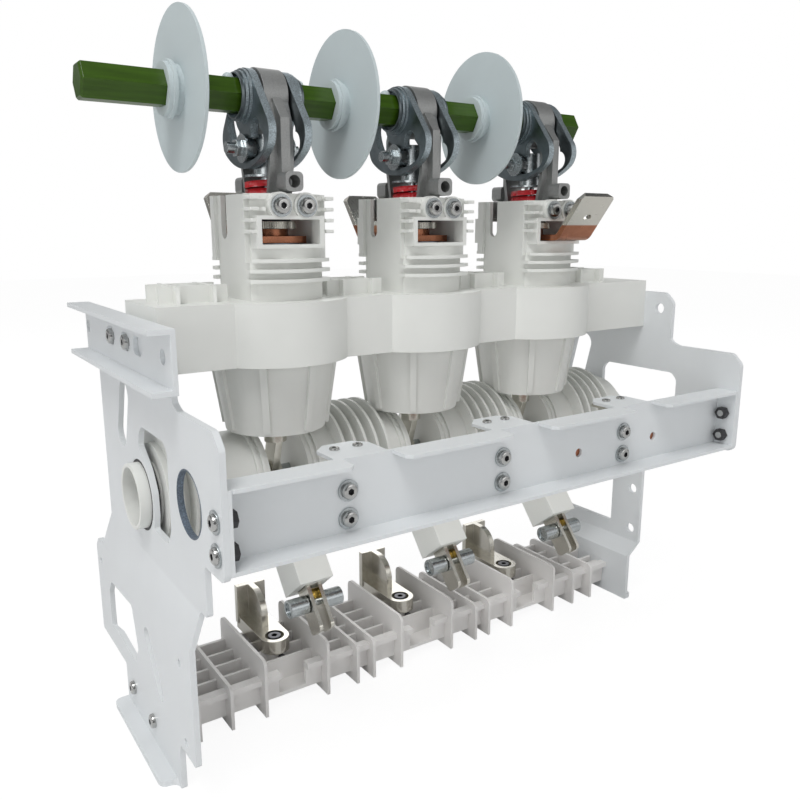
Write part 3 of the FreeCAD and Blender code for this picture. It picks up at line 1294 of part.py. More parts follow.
# top bracket
channel = new_body("top_bracket_left")
channel_out = left_outer - channel_reach
channel_face = left_outer - channel_thick
channel_profile = new_sketch(channel, "XZ_Plane", -channel_back)
polygon(channel_profile, [
    (left_outer - touch_gap, channel_low), (left_outer - touch_gap, channel_top),
    (channel_out, channel_top), (channel_out, channel_top - channel_thick),
    (channel_face, channel_top - channel_thick), (channel_face, channel_low + channel_thick),
    (channel_out, channel_low + channel_thick), (channel_out, channel_low)])
pad(channel, channel_profile, channel_back - channel_front)
slots = []
for spot in (channel_screw_first, channel_screw_first - channel_screw_pitch,
             channel_slot_third):
    slots.append((spot, channel_screw_high, spot + channel_slot_reach, channel_screw_high,
                  channel_slot_half))
drill(channel, "YZ_Plane", channel_out - channel_thick, channel_reach * 2,
      [(channel_hole_front, channel_screw_high, channel_hole),
       (channel_hole_back, channel_screw_high, channel_hole)], slots)
finish(channel, "top_bracket_left")

# front beam
beam = new_body("front_beam")
beam_inner = beam_face + beam_thick
web = new_sketch(beam, "XZ_Plane", -beam_inner)
beam_left = left_inner + touch_gap
beam_right = right_inner - touch_gap
polygon(web, [(beam_left, beam_low), (beam_right, beam_low),
              (beam_right, beam_top), (beam_left, beam_top)])
for step in (-1, 0, 1):
    middle = beam_middle + beam_pitch * step
    ring(web, middle + beam_screw_x, beam_screw_high, shank_m6 + touch_gap)
    ring(web, middle + beam_screw_x, beam_screw_low, shank_m6 + touch_gap)
for spot in (peep_first, peep_second):
    ring(web, spot, peep_height, peep_radius)
pad(beam, web, beam_thick)
edges = [beam_left]
for step in (-1, 0, 1):
    edges.append(beam_middle + beam_pitch * step + flange_stop)
    edges.append(beam_middle + beam_pitch * step + flange_start)
edges.append(beam_right)
top_level = beam_top - beam_thick
for index in range(0, len(edges), 2):
    flange = new_sketch(beam, "XY_Plane", top_level)
    polygon(flange, [(edges[index], beam_face + touch_gap), (edges[index], lobe_front + corner_small),
                     (edges[index] + corner_small, lobe_front),
                     (edges[index + 1] - corner_small, lobe_front),
                     (edges[index + 1], lobe_front + corner_small),
                     (edges[index + 1], beam_face + touch_gap)])
    pad(beam, flange, beam_thick)
for step in (-1, 0, 1):
    middle = beam_middle + beam_pitch * step
    tab = new_sketch(beam, "XY_Plane", top_level)
    polygon(tab, [(middle + beam_tab_left, beam_inner - touch_gap),
                  (middle + beam_tab_left, beam_tab_back - corner_big),
                  (middle + beam_tab_left + corner_big, beam_tab_back),
                  (middle + beam_tab_right - corner_big, beam_tab_back),
                  (middle + beam_tab_right, beam_tab_back - corner_big),
                  (middle + beam_tab_right, beam_inner - touch_gap)])
    for side in (-1, 1):
        ring(tab, middle + tab_screw_side * side, tab_screw_y, shank_m6 + touch_gap)
    pad(beam, tab, beam_thick)
low_flange = new_sketch(beam, "XY_Plane", beam_low)
polygon(low_flange, [(beam_left, beam_face + touch_gap), (beam_left, lobe_front),
                     (beam_right, lobe_front), (beam_right, beam_face + touch_gap)])
pad(beam, low_flange, beam_thick)
for start in (beam_left, beam_right - beam_thick):
    ear = new_sketch(beam, "YZ_Plane", start)
    polygon(ear, [(beam_face + touch_gap, beam_low), (lobe_front, beam_low),
                  (lobe_front, beam_top), (beam_face + touch_gap, beam_top)])
    for level in (beam_bolt_high, beam_bolt_low):
        ring(ear, beam_bolt_y, level, shank_m6 + touch_gap)
    pad(beam, ear, beam_thick)
finish(beam, "front_beam")

earth = box(beam_left + corner_big, beam_right - corner_big, beam_inner + touch_gap,
            beam_inner + earth_thick, earth_low, earth_high)
earth_ways = []
for step in (-1, 0, 1):
    middle = beam_middle + beam_pitch * step
    earth_ways.append(cylinder(shank_m6 + touch_gap, earth_thick * 4, middle + beam_screw_x,
                               beam_inner - earth_thick, beam_screw_low, "Y"))
finish(cut(earth, fuse(earth_ways)), "earth_bar")

fingers = []
for pole in poles:
    finger = box(pole + knife_shift - finger_half, pole + knife_shift + finger_half,
                 finger_front, finger_back, finger_low, top_level - touch_gap - finger_base)
    base = box(pole + knife_shift - finger_wide, pole + knife_shift + finger_wide,
               finger_front, finger_back, top_level - touch_gap - finger_base,
               top_level - touch_gap)
    fingers.append(fuse([finger, base]))
finish(group(fingers), "earth_contact_fingers")

# lower insulator
ins_left = left_low_inner + touch_gap
ins_right = right_low_inner - touch_gap
pieces = [
    box(ins_left, ins_right, trough_front, trough_front + trough_wall, trough_low, trough_top),
    box(ins_left, ins_right, trough_front - ledge_reach, trough_front + trough_wall,
        trough_top - touch_gap, trough_top + ledge_high),
    box(ins_left, ins_right, trough_back - trough_wall, trough_back, trough_low,
        trough_top + ledge_high),
    box(ins_left, ins_right, trough_front, trough_back, trough_low, trough_low + trough_wall)]
for spot in (ladder_first, ladder_first + ladder_pitch, ladder_first + ladder_pitch * 2):
    pieces.append(box(ins_left, ins_right, spot - fin_thick / 2, spot + fin_thick / 2,
                      trough_low, ladder_high))
gaps = []
for pole in poles:
    for side in (-1, 1):
        for spot, high in ((fin_tall_side, fin_tall), (fin_short_side, fin_short)):
            pieces.append(box(pole + spot * side - fin_thick / 2,
                              pole + spot * side + fin_thick / 2,
                              fin_front, fin_back, fin_low, high))
    spot = pole + knife_shift
    pieces.append(cylinder(seat_post, seat_high - trough_low, spot, contact_bolt_y,
                           trough_low, "Z"))
    pieces.append(box(spot - seat_web, spot + seat_web, contact_bolt_y, trough_back,
                      trough_low, seat_high))
    for level in (contact_bolt_y, contact_back - seat_back):
        pieces.append(box(spot - contact_round, spot + contact_round, level - fin_thick / 2,
                          level + fin_thick / 2, trough_low, seat_high))
    gaps.append(box(pole - notch_half, pole + notch_half, trough_front - ledge_reach * 2,
                    trough_front + trough_wall * 2, trough_low + trough_wall,
                    trough_top + ledge_high * 2))
    gaps.append(cylinder(shank_m6 + touch_gap, seat_high, pole + knife_shift, contact_bolt_y,
                         trough_low + trough_wall, "Z"))
for spot in (-pole_pitch - fin_end_side, pole_pitch + fin_end_side):
    pieces.append(box(spot - fin_thick / 2, spot + fin_thick / 2, fin_front, fin_back,
                      fin_low, fin_short))
for start, way in ((ins_left, 1), (ins_right - ins_screw_deep, 1)):
    for a, b in ((ins_screw_back, ins_screw_low), (ins_screw_front, ins_screw_high)):
        pieces.append(cylinder(head_m6 + trough_wall, ins_screw_deep, start, a, b, "X"))
        gaps.append(cylinder(shank_m6 + touch_gap, ins_screw_deep * 2,
                             start - ins_screw_deep / 2, a, b, "X"))
finish(cut(fuse(pieces), fuse(gaps)), "lower_insulator")

for number, pole in enumerate(poles, 1):
    label = "fixed_contact_" + str(number)
    seat = new_body(label)
    base = new_sketch(seat, "XY_Plane", seat_high + touch_gap)
    polygon(base, [(-contact_round, contact_bolt_y), (contact_round, contact_bolt_y),
                   (contact_round, contact_back), (-contact_round, contact_back)])
    pad(seat, base, contact_thick)
    nose = new_sketch(seat, "XY_Plane", seat_high + touch_gap)
    ring(nose, NONE, contact_bolt_y, contact_round)
    pad(seat, nose, contact_thick)
    side_pad(seat, [(contact_back - contact_flange, seat_high + contact_thick / 2),
                    (contact_back, seat_high + contact_thick / 2), (contact_back, contact_top),
                    (contact_back - contact_flange, contact_top)], contact_half)
    rib_top = contact_top
    side_pad(seat, [(contact_rib_front, seat_high + contact_thick / 2),
                    (contact_back - touch_gap, seat_high + contact_thick / 2),
                    (contact_back - touch_gap, rib_top), (contact_rib_front, rib_top)],
             contact_rib)
    round_corners(seat, "YZ_Plane", [(contact_rib_front, rib_top)], contact_round_top)
    sink = new_sketch(seat, "XY_Plane", seat_high + contact_thick / 2)
    ring(sink, NONE, contact_bolt_y, contact_sink)
    pocket(seat, sink, contact_thick, True)
    bolt_way = new_sketch(seat, "XY_Plane", seat_high - contact_thick)
    ring(bolt_way, NONE, contact_bolt_y, shank_m6 + touch_gap)
    pocket(seat, bolt_way, contact_thick * 3, True)
    finish(seat, label, x=pole + knife_shift)

# rotor
rotor_parts = []
rotor_voids = []
drum_starts = (rotor_left, poles[0] + pole_gap, poles[1] + pole_gap, poles[2] + pole_gap)
drum_ends = (poles[0] - pole_gap, poles[1] - pole_gap, poles[2] - pole_gap, rotor_right)
for start, end in zip(drum_starts, drum_ends):
    start = start + knife_shift if start is not rotor_left else start
    end = end + knife_shift if end is not rotor_right else end
    rotor_parts.append(cylinder(drum_radius, end - start, start, rotor_y, rotor_z, "X"))
    rotor_voids.append(cylinder(drum_radius - drum_wall, end - start - drum_wall * 2,
                                start + drum_wall, rotor_y, rotor_z, "X"))
ring_left = left_outer - ring_reach
rotor_parts.append(cylinder(ring_radius, rotor_left - ring_left + drum_wall, ring_left,
                            rotor_y, rotor_z, "X"))
rotor_voids.append(cylinder(ring_radius - ring_wall, rotor_left - ring_left + drum_wall * 2,
                            ring_left - drum_wall, rotor_y, rotor_z, "X"))
rotor_parts.append(cylinder(ring_radius, right_outer - rotor_right + touch_gap, rotor_right - touch_gap,
                            rotor_y, rotor_z, "X"))
rotor_voids.append(cylinder(ring_radius - ring_wall, right_outer - rotor_right + drum_wall * 3,
                            rotor_right - drum_wall, rotor_y, rotor_z, "X"))
for middle, count in ((rim_left, 4), (rim_second, 5), (rim_third, 5), (rim_right, 5)):
    for step in range(count):
        spot = middle + rim_pitch * (step - (count - 1) / 2)
        rotor_parts.append(cylinder(disc_rim_radius, rim_thick, spot, rotor_y, rotor_z, "X"))
for pole in poles:
    for side in (-1, 1):
        for step in range(2):
            spot = (pole + knife_shift + (pole_gap + ridge_pitch * (step + 1)) * side
                    - rim_thick / 2)
            rotor_parts.append(cylinder(rim_radius, rim_thick, spot, rotor_y, rotor_z, "X"))
for pole in poles:
    middle = pole + knife_shift
    for half, start, end in ((arm_half, arm_start - arm_deep, arm_step),
                             (arm_tip, arm_step - arm_wall, arm_end)):
        for side in (-1, 1):
            x0, x1 = in_order((half - arm_wall) * side, half * side)
            rotor_parts.append(arm_box(middle + x0, middle + x1, -arm_deep, arm_deep,
                                       start, end))
        rotor_parts.append(arm_box(middle - half, middle + half, arm_deep - arm_wall,
                                   arm_deep, in_order(start, arm_start)[1], end))
    for side in (-1, 1):
        x0, x1 = in_order((arm_tip - arm_wall) * side, arm_half * side)
        rotor_parts.append(arm_box(middle + x0, middle + x1, -arm_deep, arm_deep,
                                   arm_step - arm_wall, arm_step))
    rotor_parts.append(arm_box(middle - arm_tip, middle + arm_tip, -arm_deep,
                               arm_deep, arm_end - arm_wall, arm_end))
    rotor_voids.append(arm_box(middle - barrel_start, middle + barrel_start, -blade_half - part_gap,
                               blade_half + part_gap, arm_end - arm_wall * 2, arm_end + arm_wall))
    rotor_voids.append(cylinder(pivot_radius + touch_gap, (arm_half + drum_wall) * 2,
                                middle - arm_half - drum_wall, rotor_y, rotor_z, "X"))
finish(cut(fuse(rotor_parts), fuse(rotor_voids)), "disconnector_rotor")

for number, pole in enumerate(poles, 1):
    middle = pole + knife_shift
    sides = []
    for side in (-1, 1):
        near = middle + blade_inner * side
        far = middle + (blade_inner + blade_thick) * side
        x0, x1 = (far, near) if side < 0 else (near, far)
        strip = arm_box(x0, x1, -blade_half, blade_half, NONE, blade_reach)
        eye = cylinder(blade_half, blade_thick, x0, rotor_y, rotor_z, "X")
        way = cylinder(pivot_radius + touch_gap, blade_thick * 3, x0 - blade_thick,
                       rotor_y, rotor_z, "X")
        clamp = arm_round(bolt_radius + touch_gap, blade_thick * 3, x0 - blade_thick, barrel_at)
        sides.append(cut(fuse([strip, eye]), fuse([way, clamp])))
    finish(group(sides), "knife_blades_" + str(number))

barrels = []
pivots = []
for pole in poles:
    middle = pole + knife_shift
    for side in (-1, 1):
        near = middle + barrel_start * side
        far = middle + barrel_end * side
        x0 = far if side < 0 else near
        tube = arm_round(barrel_radius, barrel_end - barrel_start, x0, barrel_at)
        dish = arm_round(barrel_radius * 0.7, arm_wall, far - arm_wall / 2, barrel_at)
        barrels.append(cut(tube, dish))
    barrels.append(arm_round(bolt_radius, barrel_start * 2 - touch_gap * 2,
                             middle - barrel_start + touch_gap, barrel_at))
    pivots.append(cylinder(pivot_radius, arm_half * 2, middle - arm_half, rotor_y, rotor_z, "X"))
finish(group(barrels), "clamp_barrels")
finish(group(pivots), "knife_pivot_bolts")

bushes = []
for start, thick, flange_at in ((left_outer, sheet_thick, left_inner + touch_gap),
                                (right_inner, sheet_thick, right_inner - bush_flange - touch_gap)):
    sleeve = cylinder(ring_radius + bush_wall - touch_gap, thick, start, rotor_y, rotor_z, "X")
    collar = cylinder(ring_radius + bush_wall * 2, bush_flange, flange_at, rotor_y, rotor_z, "X")
    hollow = cylinder(ring_radius + fit_gap, thick * 6, start - thick * 3, rotor_y, rotor_z, "X")
    bridge = cylinder(ring_radius + bush_wall - touch_gap, thick + bush_flange,
                      (start if flange_at is not start and start is left_outer
                       else start - bush_flange), rotor_y, rotor_z, "X")
    bushes.append(cut(fuse([sleeve, collar, bridge]), hollow))
finish(group(bushes), "rotor_bushes")

# screws


def button_screw(x, y, z, axis, way, shank, head=head_m6, high=head_m6_high):
    """A button head screw; the head stands on the given point, the shank runs inward."""
    spots = {"x": x, "y": y, "z": z}
    key = axis.lower()
    head_at = dict(spots)
    shank_at = dict(spots)
    if way > 0:
        shank_at[key] = sized(spots[key]) - shank
    else:
        head_at[key] = sized(spots[key]) - high
    cap = cylinder(head, high, head_at["x"], head_at["y"], head_at["z"], axis)
    stem = cylinder(shank_m6, sized(shank) + high / 2,
                    *((shank_at[k] if way > 0 or k != key else sized(spots[key]) - high / 2)
                      for k in ("x", "y", "z")), axis)
    socket_at = dict(spots)
    if way > 0:
        socket_at[key] = sized(spots[key]) + high * 0.4
    else:
        socket_at[key] = sized(spots[key]) - high * 1.4
    socket = prism(socket_across, high, socket_at["x"], socket_at["y"], socket_at["z"], axis)
    return cut(fuse([cap, stem]), socket)


def flat_washer(x, y, z, axis, radius=washer_m6):
    """A washer from the given point along the axis."""
    disc = cylinder(radius, washer_m6_thick, x, y, z, axis)
    way = cylinder(shank_m6 + touch_gap, washer_m6_thick * 3,
                   sized(x) - (washer_m6_thick if axis == "X" else 0),
                   sized(y) - (washer_m6_thick if axis == "Y" else 0),
                   sized(z) - (washer_m6_thick if axis == "Z" else 0), axis)
    return cut(disc, way)


washers = []
screws = []
for pole in poles:
    for side in (-1, 1):
        x = pole + screw_side * side
        washers.append(flat_washer(x, -frame_out - washer_m6_thick - touch_gap, screw_height,
                                   "Y", washer_tower))
        washers.append(flat_washer(x, frame_out + touch_gap, screw_height, "Y", washer_tower))
        reach = frame_out + washer_m6_thick - foot_in
        screws.append(button_screw(x, -frame_out - washer_m6_thick - touch_gap * 2,
                                   screw_height, "Y", -1, reach, head_tower))
        screws.append(button_screw(x, frame_out + washer_m6_thick + touch_gap * 2,
                                   screw_height, "Y", 1, reach, head_tower))
finish(group(screws), "tower_screws")
finish(group(washers), "tower_washers")

face_screws = []
face_washers = []
for step in (-1, 0, 1):
    middle = beam_middle + beam_pitch * step + beam_screw_x
    for level in (beam_screw_high, beam_screw_low):
        face_washers.append(flat_washer(middle, beam_face - washer_m6_thick - touch_gap,
                                        level, "Y"))
        face_screws.append(button_screw(
            middle, beam_face - washer_m6_thick - touch_gap * 2, level, "Y", -1,
            beam_thick + earth_thick))
finish(group(face_screws), "beam_face_screws")
finish(group(face_washers), "beam_face_washers")

tab_screws = []
for step in (-1, 0, 1):
    middle = beam_middle + beam_pitch * step
    for side in (-1, 1):
        tab_screws.append(button_screw(middle + tab_screw_side * side, tab_screw_y,
                                       beam_top + touch_gap, "Z", 1, beam_thick,
                                       shank_m6 * 1.2, head_m6_high / 2))
finish(group(tab_screws), "beam_tab_screws")

end_screws = []
end_nuts = []
for level in (beam_bolt_high, beam_bolt_low):
    grip = sheet_thick + beam_thick + nut_m6_high
    end_screws.append(button_screw(left_outer - touch_gap, beam_bolt_y, level, "X", -1, grip))
    end_screws.append(button_screw(right_outer + touch_gap, beam_bolt_y, level, "X", 1, grip))
    for start, way in ((beam_left + beam_thick + touch_gap, 1),
                       (beam_right - beam_thick - nut_m6_high - touch_gap, -1)):
        nut = prism(nut_m6_across, nut_m6_high, start, beam_bolt_y, level, "X")
        hole = cylinder(shank_m6 + touch_gap, nut_m6_high * 3, start - nut_m6_high,
                        beam_bolt_y, level, "X")
        end_nuts.append(cut(nut, hole))
finish(group(end_screws), "beam_end_screws")
finish(group(end_nuts), "beam_end_nuts")

channel_screws = []
for step in range(2):
    spot = channel_screw_first - channel_screw_pitch * step
    channel_screws.append(button_screw(channel_face - touch_gap * 2, spot, channel_screw_high,
                                       "X", -1, channel_thick + sheet_thick, head_tower))
finish(group(channel_screws), "bracket_pan_screws")

ins_screws = []
for a, b in ((ins_screw_back, ins_screw_low), (ins_screw_front, ins_screw_high)):
    ins_screws.append(button_screw(left_low_outer - touch_gap, a, b, "X", -1,
                                   sheet_thick + ins_screw_deep / 2))
    ins_screws.append(button_screw(right_low_outer + touch_gap, a, b, "X", 1,
                                   sheet_thick + ins_screw_deep / 2))
finish(group(ins_screws), "lower_insulator_screws")

contact_bolts = []
for pole in poles:
    contact_bolts.append(button_screw(pole + knife_shift, contact_bolt_y,
                                      seat_high + contact_thick / 2 + touch_gap * 2, "Z", 1,
                                      contact_thick / 2 + contact_grip, head_tower,
                                      contact_thick / 2))
finish(group(contact_bolts), "fixed_contact_bolts")

port_ring = cylinder(port_radius - touch_gap, port_deep, left_outer - port_lip, port_y, port_z, "X")
port_collar = cylinder(port_radius + port_lip, port_lip, left_outer - port_lip - touch_gap,
                       port_y, port_z, "X")
port_hole = cylinder(port_radius - port_lip, port_deep * 3, left_outer - port_deep, port_y,
                     port_z, "X")
finish(cut(fuse([port_ring, port_collar]), port_hole), "port_grommet")

# export
doc.recompute()
faults = []
for item in doc.Objects:
    for state in item.State:
        if state in ("Invalid", "Error"):
            faults.append(item.Name + " " + item.Label + " is " + state)
for item in exports:
    if item.Shape.isNull() or not item.Shape.isValid():
        faults.append(item.Label + " has no valid shape")
if faults:
    raise RuntimeError(", ".join(faults))
for item in exports:
    item.Shape.exportStep("parts/" + item.Label + ".step")
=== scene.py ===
import json
import math

import bmesh
import bpy
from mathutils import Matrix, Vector

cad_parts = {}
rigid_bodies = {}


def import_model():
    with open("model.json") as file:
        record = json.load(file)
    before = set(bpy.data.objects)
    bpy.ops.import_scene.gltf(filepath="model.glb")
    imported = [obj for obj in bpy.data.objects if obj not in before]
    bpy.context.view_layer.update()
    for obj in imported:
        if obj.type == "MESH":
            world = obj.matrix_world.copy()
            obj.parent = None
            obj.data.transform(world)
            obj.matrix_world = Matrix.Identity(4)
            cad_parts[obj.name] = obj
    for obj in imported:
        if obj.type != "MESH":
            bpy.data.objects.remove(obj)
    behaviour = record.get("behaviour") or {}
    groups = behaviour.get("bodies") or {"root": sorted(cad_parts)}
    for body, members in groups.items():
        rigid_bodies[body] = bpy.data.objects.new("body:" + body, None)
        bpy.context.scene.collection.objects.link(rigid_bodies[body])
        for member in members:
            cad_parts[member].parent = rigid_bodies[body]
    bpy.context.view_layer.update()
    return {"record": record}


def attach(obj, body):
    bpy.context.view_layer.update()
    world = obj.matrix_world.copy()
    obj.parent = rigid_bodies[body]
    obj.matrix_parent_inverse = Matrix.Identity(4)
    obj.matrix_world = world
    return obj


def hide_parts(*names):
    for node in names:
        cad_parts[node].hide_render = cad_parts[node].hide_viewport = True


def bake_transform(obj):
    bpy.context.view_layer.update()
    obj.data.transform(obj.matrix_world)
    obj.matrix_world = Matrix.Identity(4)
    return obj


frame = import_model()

bl_info = {
    "name": "Switch module dresser",
    "version": (1, 0, 0),
    "blender": (4, 5, 0),
    "location": "3D View > Sidebar > Switch Module",
    "description": "Dresses the three-pole vacuum switch module and sets its studio",
    "category": "Object",
}

MM = 0.001
# middle of the module in the drawing, which is the origin of the scene
MIDDLE_X = 3.71 * MM
MIDDLE_Y = -4.25 * MM

# places and sizes of the drawing, in millimetres
POLES = (-130.0, 0.0, 130.0)
SIDES = (-1.0, 1.0)
SHAFT_Z = 474.0
ROTOR_Y = 15.0
ROTOR_Z = 192.0
SHEET_THICK = 4.0
SILVER_FROM = 386.0
FIN_LEVELS = (380.0, 387.6, 395.2, 402.8)
FIN_THICK = 2.6
TOWER_TOP = 410.0
WINDOW_BOTTOM = 366.0
WINDOW_TOP = 393.0
BRACKET_FEET = 407.5
KNIFE_TIPS = 105.0
INSULATOR_FINS = 36.0
PORT = (-230.5, -90.0, 216.0)
# shifts along the shaft from the middle of a pole
KNIFE_SHIFT = 1.0
CLAMP_SHIFT = 2.0
CLIP_SHIFT = 27.0

# limits for edges that are rounded, and for faces that stay smooth
SHARP = math.radians(20.0)
SMOOTH = math.radians(32.0)
# turn that lays a cylinder along the shaft
ALONG_X = (0.0, math.radians(90.0), 0.0)


def at(x, y, z):
    """Point in millimetres of the drawing, as metres of the scene."""
    return Vector((x * MM - MIDDLE_X, y * MM - MIDDLE_Y, z * MM))


class ModuleSizes(bpy.types.PropertyGroup):
    edge_plastic: bpy.props.FloatProperty(
        name="Moulded edge", description="Round of moulded edges",
        default=0.0009, unit="LENGTH")
    edge_cast: bpy.props.FloatProperty(
        name="Cast edge", description="Round of cast and forged edges",
        default=0.0009, unit="LENGTH")
    edge_sheet: bpy.props.FloatProperty(
        name="Sheet edge", description="Round of painted sheet edges",
        default=0.0006, unit="LENGTH")
    edge_fine: bpy.props.FloatProperty(
        name="Fine edge", description="Round of small turned parts",
        default=0.0003, unit="LENGTH")


class ModuleColours(bpy.types.PropertyGroup):
    shaft: bpy.props.FloatVectorProperty(
        name="Shaft green", description="Glass fibre shaft", subtype="COLOR",
        default=(0.033, 0.077, 0.004))
    disc: bpy.props.FloatVectorProperty(
        name="Disc grey", description="Barrier discs", subtype="COLOR",
        default=(0.54, 0.61, 0.625))
    paint: bpy.props.FloatVectorProperty(
        name="White paint", description="Powder coat on the sheet metal",
        subtype="COLOR", default=(0.74, 0.765, 0.78))
    moulding: bpy.props.FloatVectorProperty(
        name="Housing white", description="Housing resin",
        subtype="COLOR", default=(0.79, 0.80, 0.77))
    trough: bpy.props.FloatVectorProperty(
        name="Trough white", description="Lower insulator resin",
        subtype="COLOR", default=(0.84, 0.825, 0.81))
    zinc: bpy.props.FloatVectorProperty(
        name="Zinc", description="Zinc plated steel",
        subtype="COLOR", default=(0.46, 0.49, 0.50))
    cast: bpy.props.FloatVectorProperty(
        name="Castings", description="Cast levers and brackets",
        subtype="COLOR", default=(0.20, 0.23, 0.245))
    copper: bpy.props.FloatVectorProperty(
        name="Copper", description="Bare copper",
        subtype="COLOR", default=(0.42, 0.175, 0.10))
    silver: bpy.props.FloatVectorProperty(
        name="Silver", description="Silvered copper",
        subtype="COLOR", default=(0.66, 0.64, 0.58))
    spring: bpy.props.FloatVectorProperty(
        name="Spring red", description="Painted spring",
        subtype="COLOR", default=(0.60, 0.012, 0.020))
    ceramic: bpy.props.FloatVectorProperty(
        name="Ceramic", description="Vacuum chamber ceramic",
        subtype="COLOR", default=(0.42, 0.52, 0.62))
    bracket: bpy.props.FloatVectorProperty(
        name="Bracket grey", description="Blasted bearing brackets",
        subtype="COLOR", default=(0.38, 0.385, 0.38))
    steel: bpy.props.FloatVectorProperty(
        name="Screw steel", description="Polished screw heads",
        subtype="COLOR", default=(0.50, 0.50, 0.49))
    brass: bpy.props.FloatVectorProperty(
        name="Brass", description="Spacer between the knives",
        subtype="COLOR", default=(0.62, 0.42, 0.10))
    rim: bpy.props.FloatVectorProperty(
        name="Port rim", description="Blued rim of the round port",
        subtype="COLOR", default=(0.16, 0.20, 0.25))
    # dark is also used for the painted shade inside the screw sockets
    dark: bpy.props.FloatVectorProperty(
        name="Dark", description="Rubber and blackened parts",
        subtype="COLOR", default=(0.035, 0.035, 0.038))


def colours():
    return bpy.context.scene.module_colours


def sizes():
    return bpy.context.scene.module_sizes


# materials
GLOSS_PLAY = 0.06
GRAIN_HIGH = 0.4 * MM


def finish(name, colour, metal, rough, mottle, mottle_size, grain=0.0, grain_size=900.0,
           coat=0.0):
    """Surface with clouded colour, uneven gloss and a fine grain in its bump."""
    material = bpy.data.materials.new(name)
    material.use_nodes = True
    nodes = material.node_tree.nodes
    links = material.node_tree.links
    shader = nodes["Principled BSDF"]
    shader.inputs["Metallic"].default_value = metal
    shader.inputs["Coat Weight"].default_value = coat
    place = nodes.new("ShaderNodeTexCoord")
    cloud = nodes.new("ShaderNodeTexNoise")
    cloud.inputs["Scale"].default_value = mottle_size
    cloud.inputs["Detail"].default_value = 5.0
    links.new(place.outputs["Object"], cloud.inputs["Vector"])
    ramp = nodes.new("ShaderNodeValToRGB")
    low = [max(0.0, part * (1.0 - mottle)) for part in colour]
    high = [min(1.0, part * (1.0 + mottle)) for part in colour]
    ramp.color_ramp.elements[0].position = 0.3
    ramp.color_ramp.elements[1].position = 0.7
    ramp.color_ramp.elements[0].color = (*low, 1.0)
    ramp.color_ramp.elements[1].color = (*high, 1.0)
    links.new(cloud.outputs["Fac"], ramp.inputs["Fac"])
    links.new(ramp.outputs["Color"], shader.inputs["Base Color"])
    gloss = nodes.new("ShaderNodeMapRange")
    gloss.inputs["To Min"].default_value = max(0.02, rough - GLOSS_PLAY)
    gloss.inputs["To Max"].default_value = min(1.0, rough + GLOSS_PLAY)
    links.new(cloud.outputs["Fac"], gloss.inputs["Value"])
    links.new(gloss.outputs["Result"], shader.inputs["Roughness"])
    if grain > 0.0:
        fine = nodes.new("ShaderNodeTexNoise")
        fine.inputs["Scale"].default_value = grain_size
        fine.inputs["Detail"].default_value = 3.0
        links.new(place.outputs["Object"], fine.inputs["Vector"])
        bump = nodes.new("ShaderNodeBump")
        bump.inputs["Strength"].default_value = grain
        bump.inputs["Distance"].default_value = GRAIN_HIGH
        links.new(fine.outputs["Fac"], bump.inputs["Height"])
        links.new(bump.outputs["Normal"], shader.inputs["Normal"])
    return material


def streaked(name, colour, rough, stretch):
    """Wound glass fibre: long streaks along the shaft under a clear coat."""
    material = finish(name, colour, 0.0, rough, 0.10, 40.0, coat=0.12)
    nodes = material.node_tree.nodes
    links = material.node_tree.links
    shader = nodes["Principled BSDF"]
    shader.inputs["Coat Roughness"].default_value = 0.12
    shader.inputs["Specular IOR Level"].default_value = 0.25
    place = nodes["Texture Coordinate"]
    mapping = nodes.new("ShaderNodeMapping")
    mapping.inputs["Scale"].default_value = (1.0, stretch, stretch)
    streak = nodes.new("ShaderNodeTexNoise")
    streak.inputs["Scale"].default_value = 30.0
    streak.inputs["Detail"].default_value = 6.0
    links.new(place.outputs["Object"], mapping.inputs["Vector"])
    links.new(mapping.outputs["Vector"], streak.inputs["Vector"])
    ramp = nodes["Color Ramp"]
    ramp.color_ramp.elements[1].color = (*[part * 1.3 for part in colour], 1.0)
    links.new(streak.outputs["Fac"], ramp.inputs["Fac"])
    return material


def two_tone(name, low_colour, high_colour, rough):
    """Copper strap whose upright plate is silvered above the bend."""
    material = finish(name, low_colour, 1.0, rough, 0.12, 120.0, 0.05, 1400.0)
    nodes = material.node_tree.nodes
    links = material.node_tree.links
    parts = nodes.new("ShaderNodeSeparateXYZ")
    links.new(nodes["Texture Coordinate"].outputs["Object"], parts.inputs["Vector"])
    level = nodes.new("ShaderNodeMapRange")
    level.inputs["From Min"].default_value = (SILVER_FROM - 0.5) * MM
    level.inputs["From Max"].default_value = (SILVER_FROM + 0.5) * MM
    links.new(parts.outputs["Z"], level.inputs["Value"])
    mix = nodes.new("ShaderNodeMix")
    mix.data_type = "RGBA"
    links.new(level.outputs["Result"], mix.inputs["Factor"])
    links.new(nodes["Color Ramp"].outputs["Color"], mix.inputs["A"])
    mix.inputs["B"].default_value = (*high_colour, 1.0)
    links.new(mix.outputs["Result"], nodes["Principled BSDF"].inputs["Base Color"])
    return material


